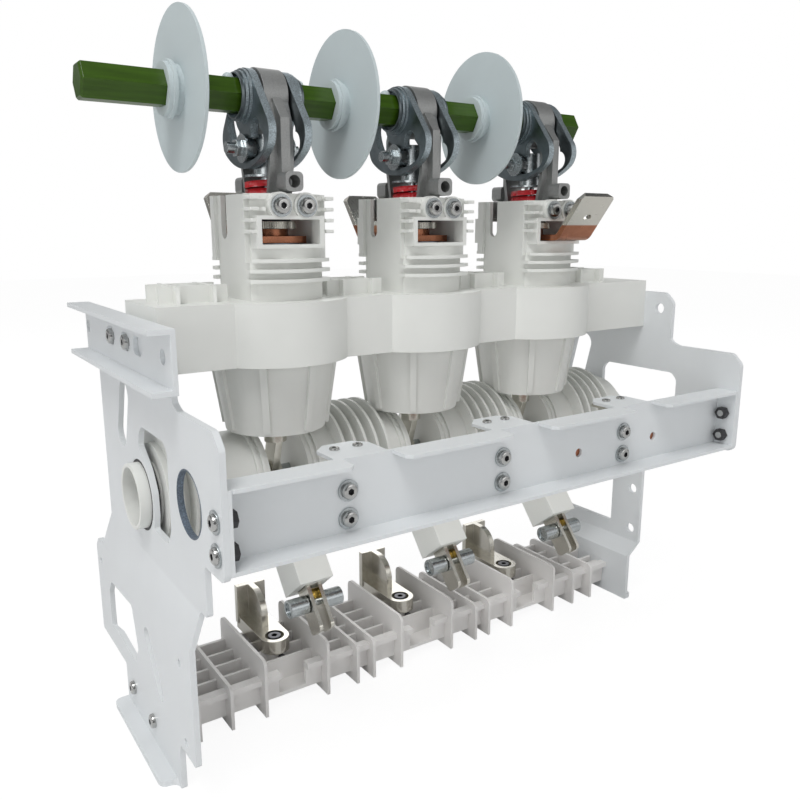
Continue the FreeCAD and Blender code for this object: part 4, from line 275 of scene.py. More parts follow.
# key, name, colour, brightness of it, metal, roughness, mottle and its scale, grain and
# its scale, clear coat
PLAIN_FINISHES = (
    ("disc", "disc_grey", "disc", 1.0, 0.0, 0.42, 0.02, 30.0, 0.05, 1500.0, 0.0),
    ("paint", "powder_white", "paint", 1.0, 0.0, 0.36, 0.015, 25.0, 0.10, 2200.0, 0.0),
    ("moulding", "resin_white", "moulding", 1.0, 0.0, 0.38, 0.02, 22.0, 0.05, 900.0, 0.0),
    ("trough", "resin_warm_white", "trough", 1.0, 0.0, 0.40, 0.02, 22.0, 0.05, 900.0, 0.0),
    ("zinc", "zinc_plate", "zinc", 1.0, 1.0, 0.26, 0.10, 260.0, 0.06, 1800.0, 0.0),
    ("cast", "cast_grey", "cast", 1.0, 1.0, 0.34, 0.14, 160.0, 0.22, 1100.0, 0.0),
    ("edge", "forged_edge", "cast", 2.1, 1.0, 0.46, 0.45, 1400.0, 0.35, 1600.0, 0.0),
    ("bracket", "blasted_grey", "bracket", 1.0, 0.85, 0.50, 0.10, 900.0, 0.20, 1500.0, 0.0),
    ("steel", "polished_steel", "steel", 1.0, 1.0, 0.20, 0.10, 200.0, 0.0, 900.0, 0.0),
    ("bolt", "blackened_bolt", "dark", 4.0, 1.0, 0.35, 0.10, 400.0, 0.0, 900.0, 0.0),
    # the near-black finish of the screw sockets is painted shade of the recess, not a colour of
    # the steel
    ("socket", "socket_dark", "dark", 1.0, 0.8, 0.45, 0.10, 400.0, 0.0, 900.0, 0.0),
    ("brass", "brass", "brass", 1.0, 1.0, 0.25, 0.10, 200.0, 0.0, 900.0, 0.0),
    ("rim", "blued_rim", "rim", 1.0, 0.6, 0.50, 0.35, 900.0, 0.20, 1200.0, 0.0),
    ("copper", "copper_bare", "copper", 1.0, 1.0, 0.28, 0.14, 120.0, 0.05, 1400.0, 0.0),
    ("silver", "silver_plate", "silver", 1.0, 1.0, 0.24, 0.06, 120.0, 0.05, 1400.0, 0.0),
    ("spring", "spring_red", "spring", 1.0, 0.0, 0.30, 0.08, 200.0, 0.05, 900.0, 0.4),
    ("ceramic", "ceramic_glaze", "ceramic", 1.0, 0.0, 0.18, 0.03, 50.0, 0.0, 900.0, 0.5),
    ("dark", "dark_rubber", "dark", 1.0, 0.0, 0.55, 0.10, 200.0, 0.10, 1500.0, 0.0),
)
FINISHES = {}


def make_finishes():
    """Every finish, from the colours in the sidebar and the table above."""
    tone = colours()
    for key, name, colour, bright, *look in PLAIN_FINISHES:
        FINISHES[key] = finish(name, [part * bright for part in getattr(tone, colour)], *look)
    FINISHES["shaft"] = streaked("glass_fibre_green", tone.shaft, 0.30, 14.0)
    FINISHES["terminal"] = two_tone("terminal_copper", tone.copper, tone.silver, 0.26)


# the first line with a word that starts a node's name gives its finish
NODE_FINISH = (
    ("shaft", ("main_shaft",)),
    ("disc", ("barrier_disc",)),
    ("cast", ("cam_lever",)),
    ("bracket", ("bearing_bracket",)),
    ("dark", ("bearing_bushes", "rotor_bushes", "beam_end_nuts", "spring_seats")),
    ("rim", ("port_grommet",)),
    ("steel", ("tower_screws", "beam_face_screws", "beam_end_screws", "beam_tab_screws",
               "bracket_pan", "lower_insulator_screws", "fixed_contact_bolts")),
    ("silver", ("knurled", "lower_terminals", "earth_contact", "fixed_contact",
                "knife_blades")),
    ("spring", ("contact_spring",)),
    ("moulding", ("insulating_housing", "disconnector_rotor")),
    ("ceramic", ("vacuum_chambers",)),
    ("terminal", ("upper_terminal",)),
    ("copper", ("copper_collars", "earth_bar")),
    ("paint", ("side_plate", "top_bracket", "front_beam")),
    ("trough", ("lower_insulator",)),
)


def finish_of(node):
    """Finish of a node; what the table leaves out is zinc plated."""
    for key, starts in NODE_FINISH:
        if node.startswith(starts):
            return FINISHES[key]
    return FINISHES["zinc"]


BODY_NODES = frame["record"]["behaviour"]["bodies"]


def node_names():
    return [name for names in BODY_NODES.values() for name in names]


# mesh helpers
def clear_selection():
    for item in bpy.context.selected_objects:
        item.select_set(False)


def only(item):
    clear_selection()
    item.select_set(True)
    bpy.context.view_layer.objects.active = item


def copied(node, suffix):
    """A merged copy of a solid, ready to be shaped."""
    source = bpy.data.objects[node]
    clear_selection()
    piece = source.copy()
    piece.data = source.data.copy()
    piece.name = node + suffix
    bpy.context.collection.objects.link(piece)
    only(piece)
    bpy.ops.object.mode_set(mode="EDIT")
    bpy.ops.mesh.select_all(action="SELECT")
    bpy.ops.mesh.remove_doubles(threshold=0.005 * MM)
    bpy.ops.mesh.dissolve_limited(angle_limit=math.radians(1.0))
    bpy.ops.object.mode_set(mode="OBJECT")
    return piece


def round_off(piece, chosen, radius, segments):
    """Bevels the sharp edges for which chosen says yes."""
    only(piece)
    bpy.ops.object.mode_set(mode="EDIT")
    bpy.ops.mesh.select_mode(type="EDGE")
    bpy.ops.mesh.select_all(action="DESELECT")
    mesh = bmesh.from_edit_mesh(piece.data)
    for edge in mesh.edges:
        if len(edge.link_faces) == 2 and edge.calc_face_angle() > SHARP:
            if chosen(edge, edge.verts[0].co, edge.verts[1].co):
                edge.select = True
    bmesh.update_edit_mesh(piece.data)
    bpy.ops.mesh.bevel(offset=radius, segments=segments, affect="EDGES", clamp_overlap=True)
    bpy.ops.object.mode_set(mode="OBJECT")


def along(axis, first, last, shortest, longest):
    """Whether an edge runs along one axis and its length in mm is in the given range."""
    way = last - first
    size = way.length
    return abs(way[axis]) > 0.99 * size and shortest * MM < size < longest * MM


def edge_softened(piece, width, segments=2, angle=35.0):
    """Rounds every edge sharper than angle degrees and smooths the shading."""
    only(piece)
    bevel = piece.modifiers.new("Round", "BEVEL")
    bevel.width = width
    bevel.segments = segments
    bevel.limit_method = "ANGLE"
    bevel.angle_limit = math.radians(angle)
    bevel.use_clamp_overlap = True
    bpy.ops.object.modifier_apply(modifier=bevel.name)
    bpy.ops.object.shade_smooth_by_angle(angle=SMOOTH)
    weighted = piece.modifiers.new("Flat", "WEIGHTED_NORMAL")
    weighted.keep_sharp = True
    bpy.ops.object.modifier_apply(modifier=weighted.name)


def stands_for(piece, node):
    """Puts a piece on the body of a node, in the place of its solid."""
    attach(piece, body_of(node))
    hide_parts(node)


def softened(node, width, corners=(), shaped=None):
    """A copy of a solid with its edges rounded as the maker would leave them.

    corners holds, for each set of larger rounds, the test, the radius and the segments.
    """
    piece = copied(node, "_rounded")
    if shaped is not None:
        shaped(piece)
    for chosen, radius, steps in corners:
        round_off(piece, chosen, radius, steps)
    edge_softened(piece, width)
    dress(piece, finish_of(node))
    stands_for(piece, node)
    return piece


def islands(node):
    """Lowest and highest corner of each loose part of a solid."""
    piece = copied(node, "_parts")
    mesh = bmesh.new()
    mesh.from_mesh(piece.data)
    left = set(mesh.verts)
    boxes = []
    while left:
        stack = [left.pop()]
        group = []
        while stack:
            spot = stack.pop()
            group.append(spot.co.copy())
            for edge in spot.link_edges:
                other = edge.other_vert(spot)
                if other in left:
                    left.remove(other)
                    stack.append(other)
        low = Vector([min(p[k] for p in group) for k in range(3)])
        high = Vector([max(p[k] for p in group) for k in range(3)])
        boxes.append((low, high))
    mesh.free()
    bpy.data.objects.remove(piece, do_unlink=True)
    return sorted(boxes, key=lambda pair: tuple(round(part, 6) for part in pair[0]))


def dress(piece, material):
    """Gives a piece one material only."""
    piece.data.materials.clear()
    piece.data.materials.append(material)


def body_of(node):
    for body, names in BODY_NODES.items():
        if node in names:
            return body
    raise RuntimeError("no body holds " + node)


class MODULE_OT_finishes(bpy.types.Operator):
    """Makes the finishes and puts them on every solid"""
    bl_idname = "module.finishes"
    bl_label = "Finishes"

    def execute(self, context):
        make_finishes()
        for node in node_names():
            dress(bpy.data.objects[node], finish_of(node))
        return {"FINISHED"}


class MODULE_OT_sheet_metal(bpy.types.Operator):
    """Rounds the corners and the edges of the painted sheet metal"""
    bl_idname = "module.sheet_metal"
    bl_label = "Sheet metal"

    def execute(self, context):
        thin = SHEET_THICK - 0.5
        thick = SHEET_THICK + 0.5

        def corner(edge, first, last):
            return along(0, first, last, thin, thick)

        def foot_corner(edge, first, last):
            low = max(first.z, last.z) < (SHEET_THICK + 1.0) * MM
            return low and along(2, first, last, thin, thick)

        for node in ("side_plate_left", "side_plate_right"):
            softened(node, sizes().edge_sheet,
                     ((corner, 2.6 * MM, 3), (foot_corner, 6.0 * MM, 4)))
        for node in ("top_bracket_left", "front_beam"):
            softened(node, sizes().edge_sheet)
        return {"FINISHED"}


class MODULE_OT_mouldings(bpy.types.Operator):
    """Rounds the resin mouldings and completes the fins of the towers"""
    bl_idname = "module.mouldings"
    bl_label = "Mouldings"

    def execute(self, context):
        def fin_corner(edge, first, last):
            upper = min(first.z, last.z) > INSULATOR_FINS * MM
            return upper and along(0, first, last, 2.2, 3.0)

        def window(edge, first, last):
            level = WINDOW_BOTTOM * MM < first.z < WINDOW_TOP * MM
            outside = abs(first.y) > 20.0 * MM
            return level and outside and not edge.is_convex and along(1, first, last, 1.0, 16.0)

        softened("insulating_housing", sizes().edge_plastic,
                 ((window, 3.0 * MM, 3),), open_corners)
        tower_fins()
        softened("lower_insulator", sizes().edge_fine * 2.0, ((fin_corner, 6.0 * MM, 4),))
        softened("disconnector_rotor", sizes().edge_plastic)
        return {"FINISHED"}


def block(x, y, z, wide, deep, high):
    """Plain block given by its middle and its three lengths."""
    clear_selection()
    bpy.ops.mesh.primitive_cube_add(size=1.0, location=at(x, y, z))
    item = bpy.context.active_object
    bpy.ops.transform.resize(value=(wide * MM, deep * MM, high * MM))
    bpy.ops.object.transform_apply(location=True, rotation=True, scale=True)
    return item


def cut_away(piece, cutter):
    """Takes the shape of the cutter out of a piece and drops the cutter."""
    only(piece)
    cut = piece.modifiers.new("Cut", "BOOLEAN")
    cut.operation = "DIFFERENCE"
    cut.solver = "EXACT"
    cut.object = cutter
    bpy.ops.object.modifier_apply(modifier=cut.name)
    bpy.data.objects.remove(cutter, do_unlink=True)


def open_corners(piece):
    """Cuts the front corner walls of the towers away between their fins."""
    bottoms = (360.0, *[level + FIN_THICK for level in FIN_LEVELS])
    tops = (*FIN_LEVELS, TOWER_TOP)
    out = 31.0
    front = -32.0
    wide = 7.0
    deep = 7.6
    cutters = []
    for pole in POLES:
        for side in SIDES:
            for bottom, top in zip(bottoms, tops):
                cutters.append(block(pole + out * side, front, (bottom + top) / 2.0,
                                     wide, deep, top - bottom))
    cut_away(piece, joined(cutters, "corner_cutter"))


def tower_fins():
    """Square ends of the fins on the front corners of the towers."""
    out = 28.9
    front = -35.0
    wide = 6.4
    deep = 12.0
    fins = []
    for pole in POLES:
        for side in SIDES:
            for level in FIN_LEVELS:
                fins.append(block(pole + out * side, front, level + FIN_THICK / 2.0,
                                  wide, deep, FIN_THICK - 0.1))
    piece = joined(fins, "tower_fins")
    edge_softened(piece, 0.5 * MM)
    dress(piece, FINISHES["moulding"])
    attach(piece, "frame")


FINE_NODES = ("upper_terminal", "fixed_contact_1", "fixed_contact_2", "fixed_contact_3",
              "barrier_disc", "main_shaft", "clamp_barrels", "pin_washers", "drive_pin",
              "contact_rod", "tower_washers", "beam_face_washers", "beam_end_nuts",
              "lower_terminals", "earth_contact_fingers", "copper_collars", "rotor_bushes",
              "knife_pivot_bolts", "earth_bar", "spring_seats", "bearing_bushes")


class MODULE_OT_castings(bpy.types.Operator):
    """Rounds the edges of levers, brackets, terminals and contacts"""
    bl_idname = "module.castings"
    bl_label = "Castings"

    def execute(self, context):
        def boss_corner(edge, first, last):
            upper = min(first.z, last.z) > BRACKET_FEET * MM
            return upper and along(1, first, last, 8.0, 14.0)

        def blade_tip(edge, first, last):
            lower = min(first.z, last.z) < KNIFE_TIPS * MM
            return lower and along(0, first, last, 2.5, 3.5)

        for node in node_names():
            if node.startswith("cam_lever"):
                piece = softened(node, sizes().edge_cast)
                grainy_rim(piece)
            elif node.startswith("bearing_bracket"):
                softened(node, sizes().edge_cast, ((boss_corner, 3.5 * MM, 4),))
            elif node.startswith("knife_blades"):
                softened(node, sizes().edge_fine, ((blade_tip, 4.0 * MM, 4),))
            elif node.startswith(FINE_NODES):
                softened(node, sizes().edge_fine)
        return {"FINISHED"}


def grainy_rim(piece):
    """Gives the narrow faces round a lever the rough forged finish."""
    piece.data.materials.append(FINISHES["edge"])
    bore = 16.5 * MM
    top = (SHAFT_Z + 25.0) * MM
    for face in piece.data.polygons:
        away = math.hypot(face.center.y + MIDDLE_Y, face.center.z - SHAFT_Z * MM)
        narrow = abs(face.normal.x) < 0.25
        if narrow and away > bore and face.center.z < top:
            face.material_index = 1


# node, axis, height of the head, radius of the socket, share of the head that is domed
SCREW_SETS = (
    ("tower_screws", 1, 3.4 * MM, 2.3 * MM, 0.75),
    ("beam_face_screws", 1, 3.4 * MM, 2.3 * MM, 0.75),
    ("beam_tab_screws", 2, 1.7 * MM, 1.6 * MM, 0.7),
    ("beam_end_screws", 0, 3.4 * MM, 2.3 * MM, 0.75),
    ("bracket_pan_screws", 0, 3.4 * MM, 2.3 * MM, 0.8),
    ("lower_insulator_screws", 0, 3.4 * MM, 2.3 * MM, 0.75),
    ("fixed_contact_bolts", 2, 6.0 * MM, 2.6 * MM, 0.12),
)
# turns, in degrees, from Z to an axis and the way along it
TURNS = {
    (0, 1): (0.0, 90.0, 0.0),
    (0, -1): (0.0, -90.0, 0.0),
    (1, 1): (-90.0, 0.0, 0.0),
    (1, -1): (90.0, 0.0, 0.0),
    (2, 1): (0.0, 0.0, 0.0),
    (2, -1): (180.0, 0.0, 0.0),
}
# a head wider than SLIM_HEAD has a shank of SHANK_RADIUS, a slimmer one stands out over
# its shank by a share of its own radius
SLIM_HEAD = 3.6 * MM
SHANK_RADIUS = 3.0 * MM
SLIM_RIM = 0.3
# shares of the height of a head: middle of the cutting key, lowest and highest socket face
KEY_MIDDLE = 0.95
SOCKET_LOW = 0.2
SOCKET_HIGH = 0.93
# a face nearer to the middle than this share of the key's radius is one of the socket's, and gets
# the painted shade
SOCKET_INSIDE = 0.92
# radius and thickness of a washer as shares of its screw's head
WASHER_RADIUS = 1.4
WASHER_THICK = 0.35


class MODULE_OT_screws(bpy.types.Operator):
    """Domed socket screws in place of the plain screw solids"""
    bl_idname = "module.screws"
    bl_label = "Screws"

    def execute(self, context):
        for node, axis, head_high, socket, dome in SCREW_SETS:
            copies = []
            for low, high in islands(node):
                way = outward(node, axis, low, high)
                middle = (low + high) / 2.0
                across = [k for k in range(3) if k != axis]
                radius = (high[across[0]] - low[across[0]]) / 2.0
                middle[axis] = (high[axis] if way > 0 else low[axis]) - way * head_high
                shank = (high[axis] - low[axis]) - head_high
                copies.append(screw_at(middle, axis, way, radius, head_high, shank, socket, dome))
                if node == "beam_end_screws":
                    copies.append(washer_at(middle, axis, way, radius * WASHER_RADIUS,
                                            head_high * WASHER_THICK))
            piece = joined(copies, node + "_heads")
            if node == "fixed_contact_bolts":
                piece.material_slots[0].material = FINISHES["bolt"]
            stands_for(piece, node)
        return {"FINISHED"}


def outward(node, axis, low, high):
    """The way in which the head of a screw points."""
    if axis == 2:
        return 1
    if node == "beam_face_screws":
        return -1
    return 1 if low[axis] + high[axis] > 0.0 else -1


def selected_faces(piece, chosen):
    """Selects the faces for which chosen says yes, in edit mode."""
    bpy.ops.mesh.select_mode(type="FACE")
    bpy.ops.mesh.select_all(action="DESELECT")
    mesh = bmesh.from_edit_mesh(piece.data)
    for face in mesh.faces:
        if chosen(face):
            face.select = True
    bmesh.update_edit_mesh(piece.data)


def turn_to(piece, axis, way, place):
    """Stands a piece modelled along Z on a face that looks along another axis."""
    piece.rotation_euler = [math.radians(part) for part in TURNS[(axis, way)]]
    piece.location = place
    only(piece)
    bpy.ops.object.transform_apply(location=True, rotation=True, scale=True)


def screw_at(place, axis, way, radius, high, shank, socket, dome):
    """One screw: domed head, hexagon socket darkened with painted shade, and plain shank."""
    clear_selection()
    bpy.ops.mesh.primitive_cylinder_add(vertices=32, radius=radius, depth=high,
                                        location=(0.0, 0.0, high / 2.0))
    head = bpy.context.active_object
    bpy.ops.object.transform_apply(location=True)
    bpy.ops.object.mode_set(mode="EDIT")
    selected_faces(head, lambda face: face.normal.z > 0.9)
    bpy.ops.mesh.bevel(offset=high * dome, segments=4, affect="EDGES", profile=0.6)
    selected_faces(head, lambda face: face.normal.z < -0.9)
    inset = radius - SHANK_RADIUS if radius > SLIM_HEAD else radius * SLIM_RIM
    bpy.ops.mesh.inset(thickness=inset)
    bpy.ops.mesh.extrude_region_move(TRANSFORM_OT_translate={"value": (0.0, 0.0, -shank)})
    bpy.ops.object.mode_set(mode="OBJECT")
    clear_selection()
    bpy.ops.mesh.primitive_cylinder_add(vertices=6, radius=socket, depth=high,
                                        location=(0.0, 0.0, high * KEY_MIDDLE))
    key = bpy.context.active_object
    cut_away(head, key)
    edge_softened(head, 0.15 * MM, segments=1, angle=50.0)
    head.data.materials.append(FINISHES["steel"])
    # the faces inside the socket take the dark finish: painted shade of the recess
    head.data.materials.append(FINISHES["socket"])
    for face in head.data.polygons:
        inside = math.hypot(face.center.x, face.center.y) < SOCKET_INSIDE * socket
        sunk = SOCKET_LOW * high < face.center.z < SOCKET_HIGH * high
        if inside and sunk:
            face.material_index = 1
    turn_to(head, axis, way, place)
    return head


def washer_at(place, axis, way, radius, thick):
    """A plain washer under a screw head."""
    clear_selection()
    bpy.ops.mesh.primitive_cylinder_add(vertices=32, radius=radius, depth=thick,
                                        location=(0.0, 0.0, thick / 2.0))
    washer = bpy.context.active_object
    bpy.ops.object.transform_apply(location=True)
    edge_softened(washer, 0.25 * MM, angle=50.0)
    washer.data.materials.append(FINISHES["zinc"])
    turn_to(washer, axis, way, place)
    return washer


def joined(pieces, name):
    """The pieces as one, with smooth shading."""
    clear_selection()
    for item in pieces:
        item.select_set(True)
    bpy.context.view_layer.objects.active = pieces[0]
    bpy.ops.object.join()
    piece = bpy.context.active_object
    piece.name = name
    bpy.ops.object.shade_smooth_by_angle(angle=SMOOTH)
    return piece


class MODULE_OT_springs(bpy.types.Operator):
    """Contact springs that stand on their seats, as smooth copies freed from their bodies"""
    bl_idname = "module.springs"
    bl_label = "Springs"

    def execute(self, context):
        for number, pole in enumerate(POLES, 1):
            node = "contact_spring_" + str(number)
            spring = copied(node, "_coil")
            bpy.ops.object.shade_smooth_by_angle(angle=SMOOTH)
            dress(spring, FINISHES["spring"])
            bpy.ops.object.parent_clear(type="CLEAR_KEEP_TRANSFORM")
            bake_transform(spring)
            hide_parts(node)
        return {"FINISHED"}


class MODULE_OT_small_parts(bpy.types.Operator):
    """Knurled collars, port rim, knife spacers, clamp screws and shaft clips"""
    bl_idname = "module.small_parts"
    bl_label = "Small parts"

    def execute(self, context):
        knurls = [knurl_at(low, high) for low, high in islands("knurled_collars")]
        collars = joined(knurls, "knurled_collars_cut")
        stands_for(collars, "knurled_collars")
        port_rim()
        for pole in POLES:
            knife_spacer(pole + KNIFE_SHIFT)
            clamp_screw(pole + CLAMP_SHIFT)
            for side in SIDES:
                shaft_clip(pole + CLIP_SHIFT * side)
        return {"FINISHED"}


KNURL_LINES = 144
KNURL_PULL = 0.965


def knurl_at(low, high):
    """A ring with a straight knurl: every second line of its wall is pulled in."""
    clear_selection()
    middle = (low + high) / 2.0
    bpy.ops.mesh.primitive_cylinder_add(vertices=KNURL_LINES, radius=(high.x - low.x) / 2.0,
                                        depth=high.z - low.z, location=middle)
    ring = bpy.context.active_object
    bpy.ops.object.transform_apply(location=True)
    bpy.ops.object.mode_set(mode="EDIT")
    bpy.ops.mesh.select_mode(type="VERT")
    bpy.ops.mesh.select_all(action="DESELECT")
    mesh = bmesh.from_edit_mesh(ring.data)
    for spot in mesh.verts:
        turn = math.atan2(spot.co.y - middle.y, spot.co.x - middle.x)
        line = round((turn / (2.0 * math.pi)) * KNURL_LINES)
        spot.select = line % 2 == 0
    bmesh.update_edit_mesh(ring.data)
    bpy.ops.transform.resize(value=(KNURL_PULL, KNURL_PULL, 1.0), center_override=middle)
    bpy.ops.object.mode_set(mode="OBJECT")
    edge_softened(ring, 0.3 * MM, segments=1, angle=60.0)
    ring.data.materials.append(FINISHES["silver"])
    return ring


def port_rim():
    """The thin blued rim inside the round port of the left plate."""
    clear_selection()
    bpy.ops.mesh.primitive_cylinder_add(vertices=96, radius=22.45 * MM, depth=4.4 * MM,
                                        location=at(*PORT), rotation=ALONG_X,
                                        end_fill_type="NOTHING")
    rim = bpy.context.active_object
    rim.name = "port_rim"
    bpy.ops.object.transform_apply(location=True, rotation=True)
    wall = rim.modifiers.new("Wall", "SOLIDIFY")
    wall.thickness = 1.0 * MM
    wall.offset = -1.0
    bpy.ops.object.modifier_apply(modifier=wall.name)
    edge_softened(rim, 0.2 * MM, angle=50.0)
    rim.data.materials.append(FINISHES["rim"])
    stands_for(rim, "port_grommet")


def knife_spacer(x):
    """Brass tube between the two knives of a pole, in line with them below the rotor."""
    lean = math.radians(39.3)
    reach = 105.0
    place = at(x, ROTOR_Y - reach * math.sin(lean), ROTOR_Z - reach * math.cos(lean))
    clear_selection()
    bpy.ops.mesh.primitive_cylinder_add(vertices=32, radius=4.2 * MM, depth=6.2 * MM,
                                        location=place, rotation=ALONG_X)
    spacer = bpy.context.active_object
    spacer.name = "knife_spacer_" + str(int(x) + 200)
    bpy.ops.object.transform_apply(location=True, rotation=True)
    edge_softened(spacer, 0.4 * MM, angle=50.0)
    spacer.data.materials.append(FINISHES["brass"])
    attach(spacer, "rotor")


def clamp_screw(x):
    """Small blackened screw in front of a fixed contact."""
    screw = screw_at(at(x, 10.0, 28.7), axis=1, way=-1, radius=2.7 * MM, high=3.4 * MM,
                     shank=4.0 * MM, socket=1.4 * MM, dome=0.15)
    screw.name = "clamp_screw_" + str(int(x) + 200)
    screw.material_slots[0].material = FINISHES["bolt"]
    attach(screw, "frame")


def shaft_clip(x):
    """Small domed clip on the top flat of the shaft beside a lever hub."""
    flat_up = 10.8
    clear_selection()
    bpy.ops.mesh.primitive_uv_sphere_add(segments=24, ring_count=12, radius=4.2 * MM,
                                         location=(0.0, 0.0, 0.0))
    clip = bpy.context.active_object
    clip.name = "shaft_clip_" + str(int(x) + 300)
    bpy.ops.object.mode_set(mode="EDIT")
    bpy.ops.mesh.select_all(action="SELECT")
    bpy.ops.mesh.bisect(plane_co=(0.0, 0.0, 0.0), plane_no=(0.0, 0.0, 1.0), use_fill=True,
                        clear_inner=True)
    bpy.ops.object.mode_set(mode="OBJECT")
    clip.location = at(x, 0.0, SHAFT_Z + flat_up)
    only(clip)
    bpy.ops.object.transform_apply(location=True)
    edge_softened(clip, 0.3 * MM, angle=60.0)
    clip.data.materials.append(FINISHES["disc"])
    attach(clip, "shaft")


FLOOR_SIZE = 12.0
# glow of the floor and how much of it the camera sees, light on rough and on mirroring faces
FLOOR_GLOW = 1.08
FLOOR_SHARE = 0.85
ROOM_LIGHT = 0.54
MIRROR_LIGHT = 0.80


class MODULE_OT_studio(bpy.types.Operator):
    """Sets the pale floor, the lamps and the camera"""
    bl_idname = "module.studio"
    bl_label = "Studio"

    def execute(self, context):
        clear_selection()
        bpy.ops.mesh.primitive_plane_add(size=FLOOR_SIZE, location=(0.0, 0.0, 0.0))
        floor = context.active_object
        floor.name = "studio_floor"
        dress(floor, studio_white())
        light_world()
        waist = (0.0, 0.0, 0.25)
        foot = (0.0, 0.0, 0.10)
        lamp("key", (-1.1, -0.8, 2.5), waist, 1.0, 28.0)
        lamp("front", (0.9, -2.4, 0.9), waist, 1.2, 3.0)
        lamp("left", (-2.0, -1.1, 0.4), foot, 1.0, 5.0)
        lamp("back", (1.2, 2.0, 1.3), waist, 1.2, 6.0)
        place_camera()
        return {"FINISHED"}


def studio_white():
    """Pale floor that the camera sees as white, with a soft shadow kept in it."""
    material = bpy.data.materials.new("studio_white")
    material.use_nodes = True
    nodes = material.node_tree.nodes
    links = material.node_tree.links
    nodes.clear()
    out = nodes.new("ShaderNodeOutputMaterial")
    ray = nodes.new("ShaderNodeLightPath")
    cloud = nodes.new("ShaderNodeTexNoise")
    cloud.inputs["Scale"].default_value = 3.0
    ramp = nodes.new("ShaderNodeValToRGB")
    ramp.color_ramp.elements[0].color = (0.80, 0.80, 0.80, 1.0)
    ramp.color_ramp.elements[1].color = (0.82, 0.82, 0.82, 1.0)
    plain = nodes.new("ShaderNodeBsdfDiffuse")
    bright = nodes.new("ShaderNodeEmission")
    bright.inputs["Strength"].default_value = FLOOR_GLOW
    mix = nodes.new("ShaderNodeMixShader")
    scale = nodes.new("ShaderNodeMath")
    scale.operation = "MULTIPLY"
    scale.inputs[1].default_value = FLOOR_SHARE
    links.new(cloud.outputs["Fac"], ramp.inputs["Fac"])
    links.new(ramp.outputs["Color"], plain.inputs["Color"])
    links.new(ray.outputs["Is Camera Ray"], scale.inputs[0])
    links.new(scale.outputs["Value"], mix.inputs["Fac"])
    links.new(plain.outputs["BSDF"], mix.inputs[1])
    links.new(bright.outputs["Emission"], mix.inputs[2])
    links.new(mix.outputs["Shader"], out.inputs["Surface"])
    return material


def light_world():
    """Soft light with darker flags in it, so that metal has something to mirror."""
    world = bpy.data.worlds.new("studio_air")
    bpy.context.scene.world = world
    world.use_nodes = True
    nodes = world.node_tree.nodes
    links = world.node_tree.links
    nodes.clear()
    out = nodes.new("ShaderNodeOutputWorld")
    ray = nodes.new("ShaderNodeLightPath")
    way = nodes.new("ShaderNodeTexCoord")
    flags = nodes.new("ShaderNodeTexNoise")
    flags.inputs["Scale"].default_value = 2.1
    flags.inputs["Detail"].default_value = 1.0
    links.new(way.outputs["Generated"], flags.inputs["Vector"])
    ramp = nodes.new("ShaderNodeValToRGB")
    ramp.color_ramp.elements[0].position = 0.40
    ramp.color_ramp.elements[0].color = (0.05, 0.055, 0.06, 1.0)
    ramp.color_ramp.elements[1].position = 0.62
    ramp.color_ramp.elements[1].color = (1.0, 1.0, 1.0, 1.0)
    links.new(flags.outputs["Fac"], ramp.inputs["Fac"])
    soft = nodes.new("ShaderNodeBackground")
    soft.inputs["Strength"].default_value = ROOM_LIGHT
    soft.inputs["Color"].default_value = (1.0, 1.0, 1.0, 1.0)
    mirrored = nodes.new("ShaderNodeBackground")
    mirrored.inputs["Strength"].default_value = MIRROR_LIGHT
    links.new(ramp.outputs["Color"], mirrored.inputs["Color"])
    white = nodes.new("ShaderNodeBackground")
    white.inputs["Strength"].default_value = 1.0
    white.inputs["Color"].default_value = (1.0, 1.0, 1.0, 1.0)
    metal = nodes.new("ShaderNodeMixShader")
    links.new(ray.outputs["Is Glossy Ray"], metal.inputs["Fac"])
    links.new(soft.outputs["Background"], metal.inputs[1])
    links.new(mirrored.outputs["Background"], metal.inputs[2])
    mix = nodes.new("ShaderNodeMixShader")
    links.new(ray.outputs["Is Camera Ray"], mix.inputs["Fac"])
    links.new(metal.outputs["Shader"], mix.inputs[1])
    links.new(white.outputs["Background"], mix.inputs[2])
    links.new(mix.outputs["Shader"], out.inputs["Surface"])


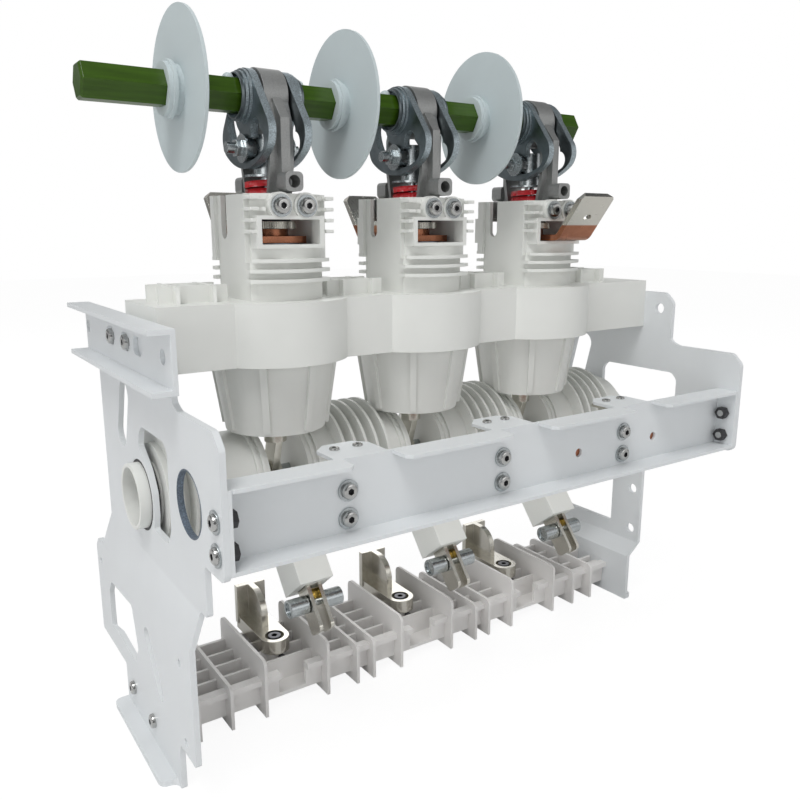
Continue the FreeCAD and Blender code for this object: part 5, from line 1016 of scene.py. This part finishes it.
def lamp(name, place, target, width, power):
    """Square lamp at a place in metres, turned to a target."""
    data = bpy.data.lights.new(name, "AREA")
    data.shape = "SQUARE"
    data.size = width
    data.energy = power
    item = bpy.data.objects.new(name, data)
    item.location = place
    toward = Vector(target) - Vector(place)
    item.rotation_euler = toward.to_track_quat("-Z", "Y").to_euler()
    bpy.context.collection.objects.link(item)


def place_camera():
    """Camera of the photo: it looks down by dip and in from the left by swing."""
    dip = 12.43
    swing = 34.22
    data = bpy.data.cameras.new("view")
    data.sensor_width = 36.0
    data.lens = 35.15
    data.clip_start = 0.01
    item = bpy.data.objects.new("view", data)
    item.location = at(-382.6, -543.9, 383.8)
    item.rotation_euler = (math.radians(90.0 - dip), 0.0, math.radians(-swing))
    bpy.context.collection.objects.link(item)
    bpy.context.scene.camera = item
    bpy.context.scene.view_settings.view_transform = "Standard"


STEPS = (MODULE_OT_finishes, MODULE_OT_sheet_metal, MODULE_OT_mouldings, MODULE_OT_castings,
         MODULE_OT_screws, MODULE_OT_springs, MODULE_OT_small_parts, MODULE_OT_studio)


class MODULE_PT_panel(bpy.types.Panel):
    bl_label = "Switch Module"
    bl_space_type = "VIEW_3D"
    bl_region_type = "UI"
    bl_category = "Switch Module"

    def draw(self, context):
        for step in STEPS:
            self.layout.operator(step.bl_idname)


CLASSES = (ModuleSizes, ModuleColours, *STEPS, MODULE_PT_panel)


def register():
    for item in CLASSES:
        bpy.utils.register_class(item)
    bpy.types.Scene.module_sizes = bpy.props.PointerProperty(type=ModuleSizes)
    bpy.types.Scene.module_colours = bpy.props.PointerProperty(type=ModuleColours)


def unregister():
    del bpy.types.Scene.module_colours
    del bpy.types.Scene.module_sizes
    for item in reversed(CLASSES):
        bpy.utils.unregister_class(item)


def main():
    register()
    bpy.ops.module.finishes()
    bpy.ops.module.sheet_metal()
    bpy.ops.module.mouldings()
    bpy.ops.module.castings()
    bpy.ops.module.screws()
    bpy.ops.module.springs()
    bpy.ops.module.small_parts()
    bpy.ops.module.studio()


if __name__ == "__main__":
    main()
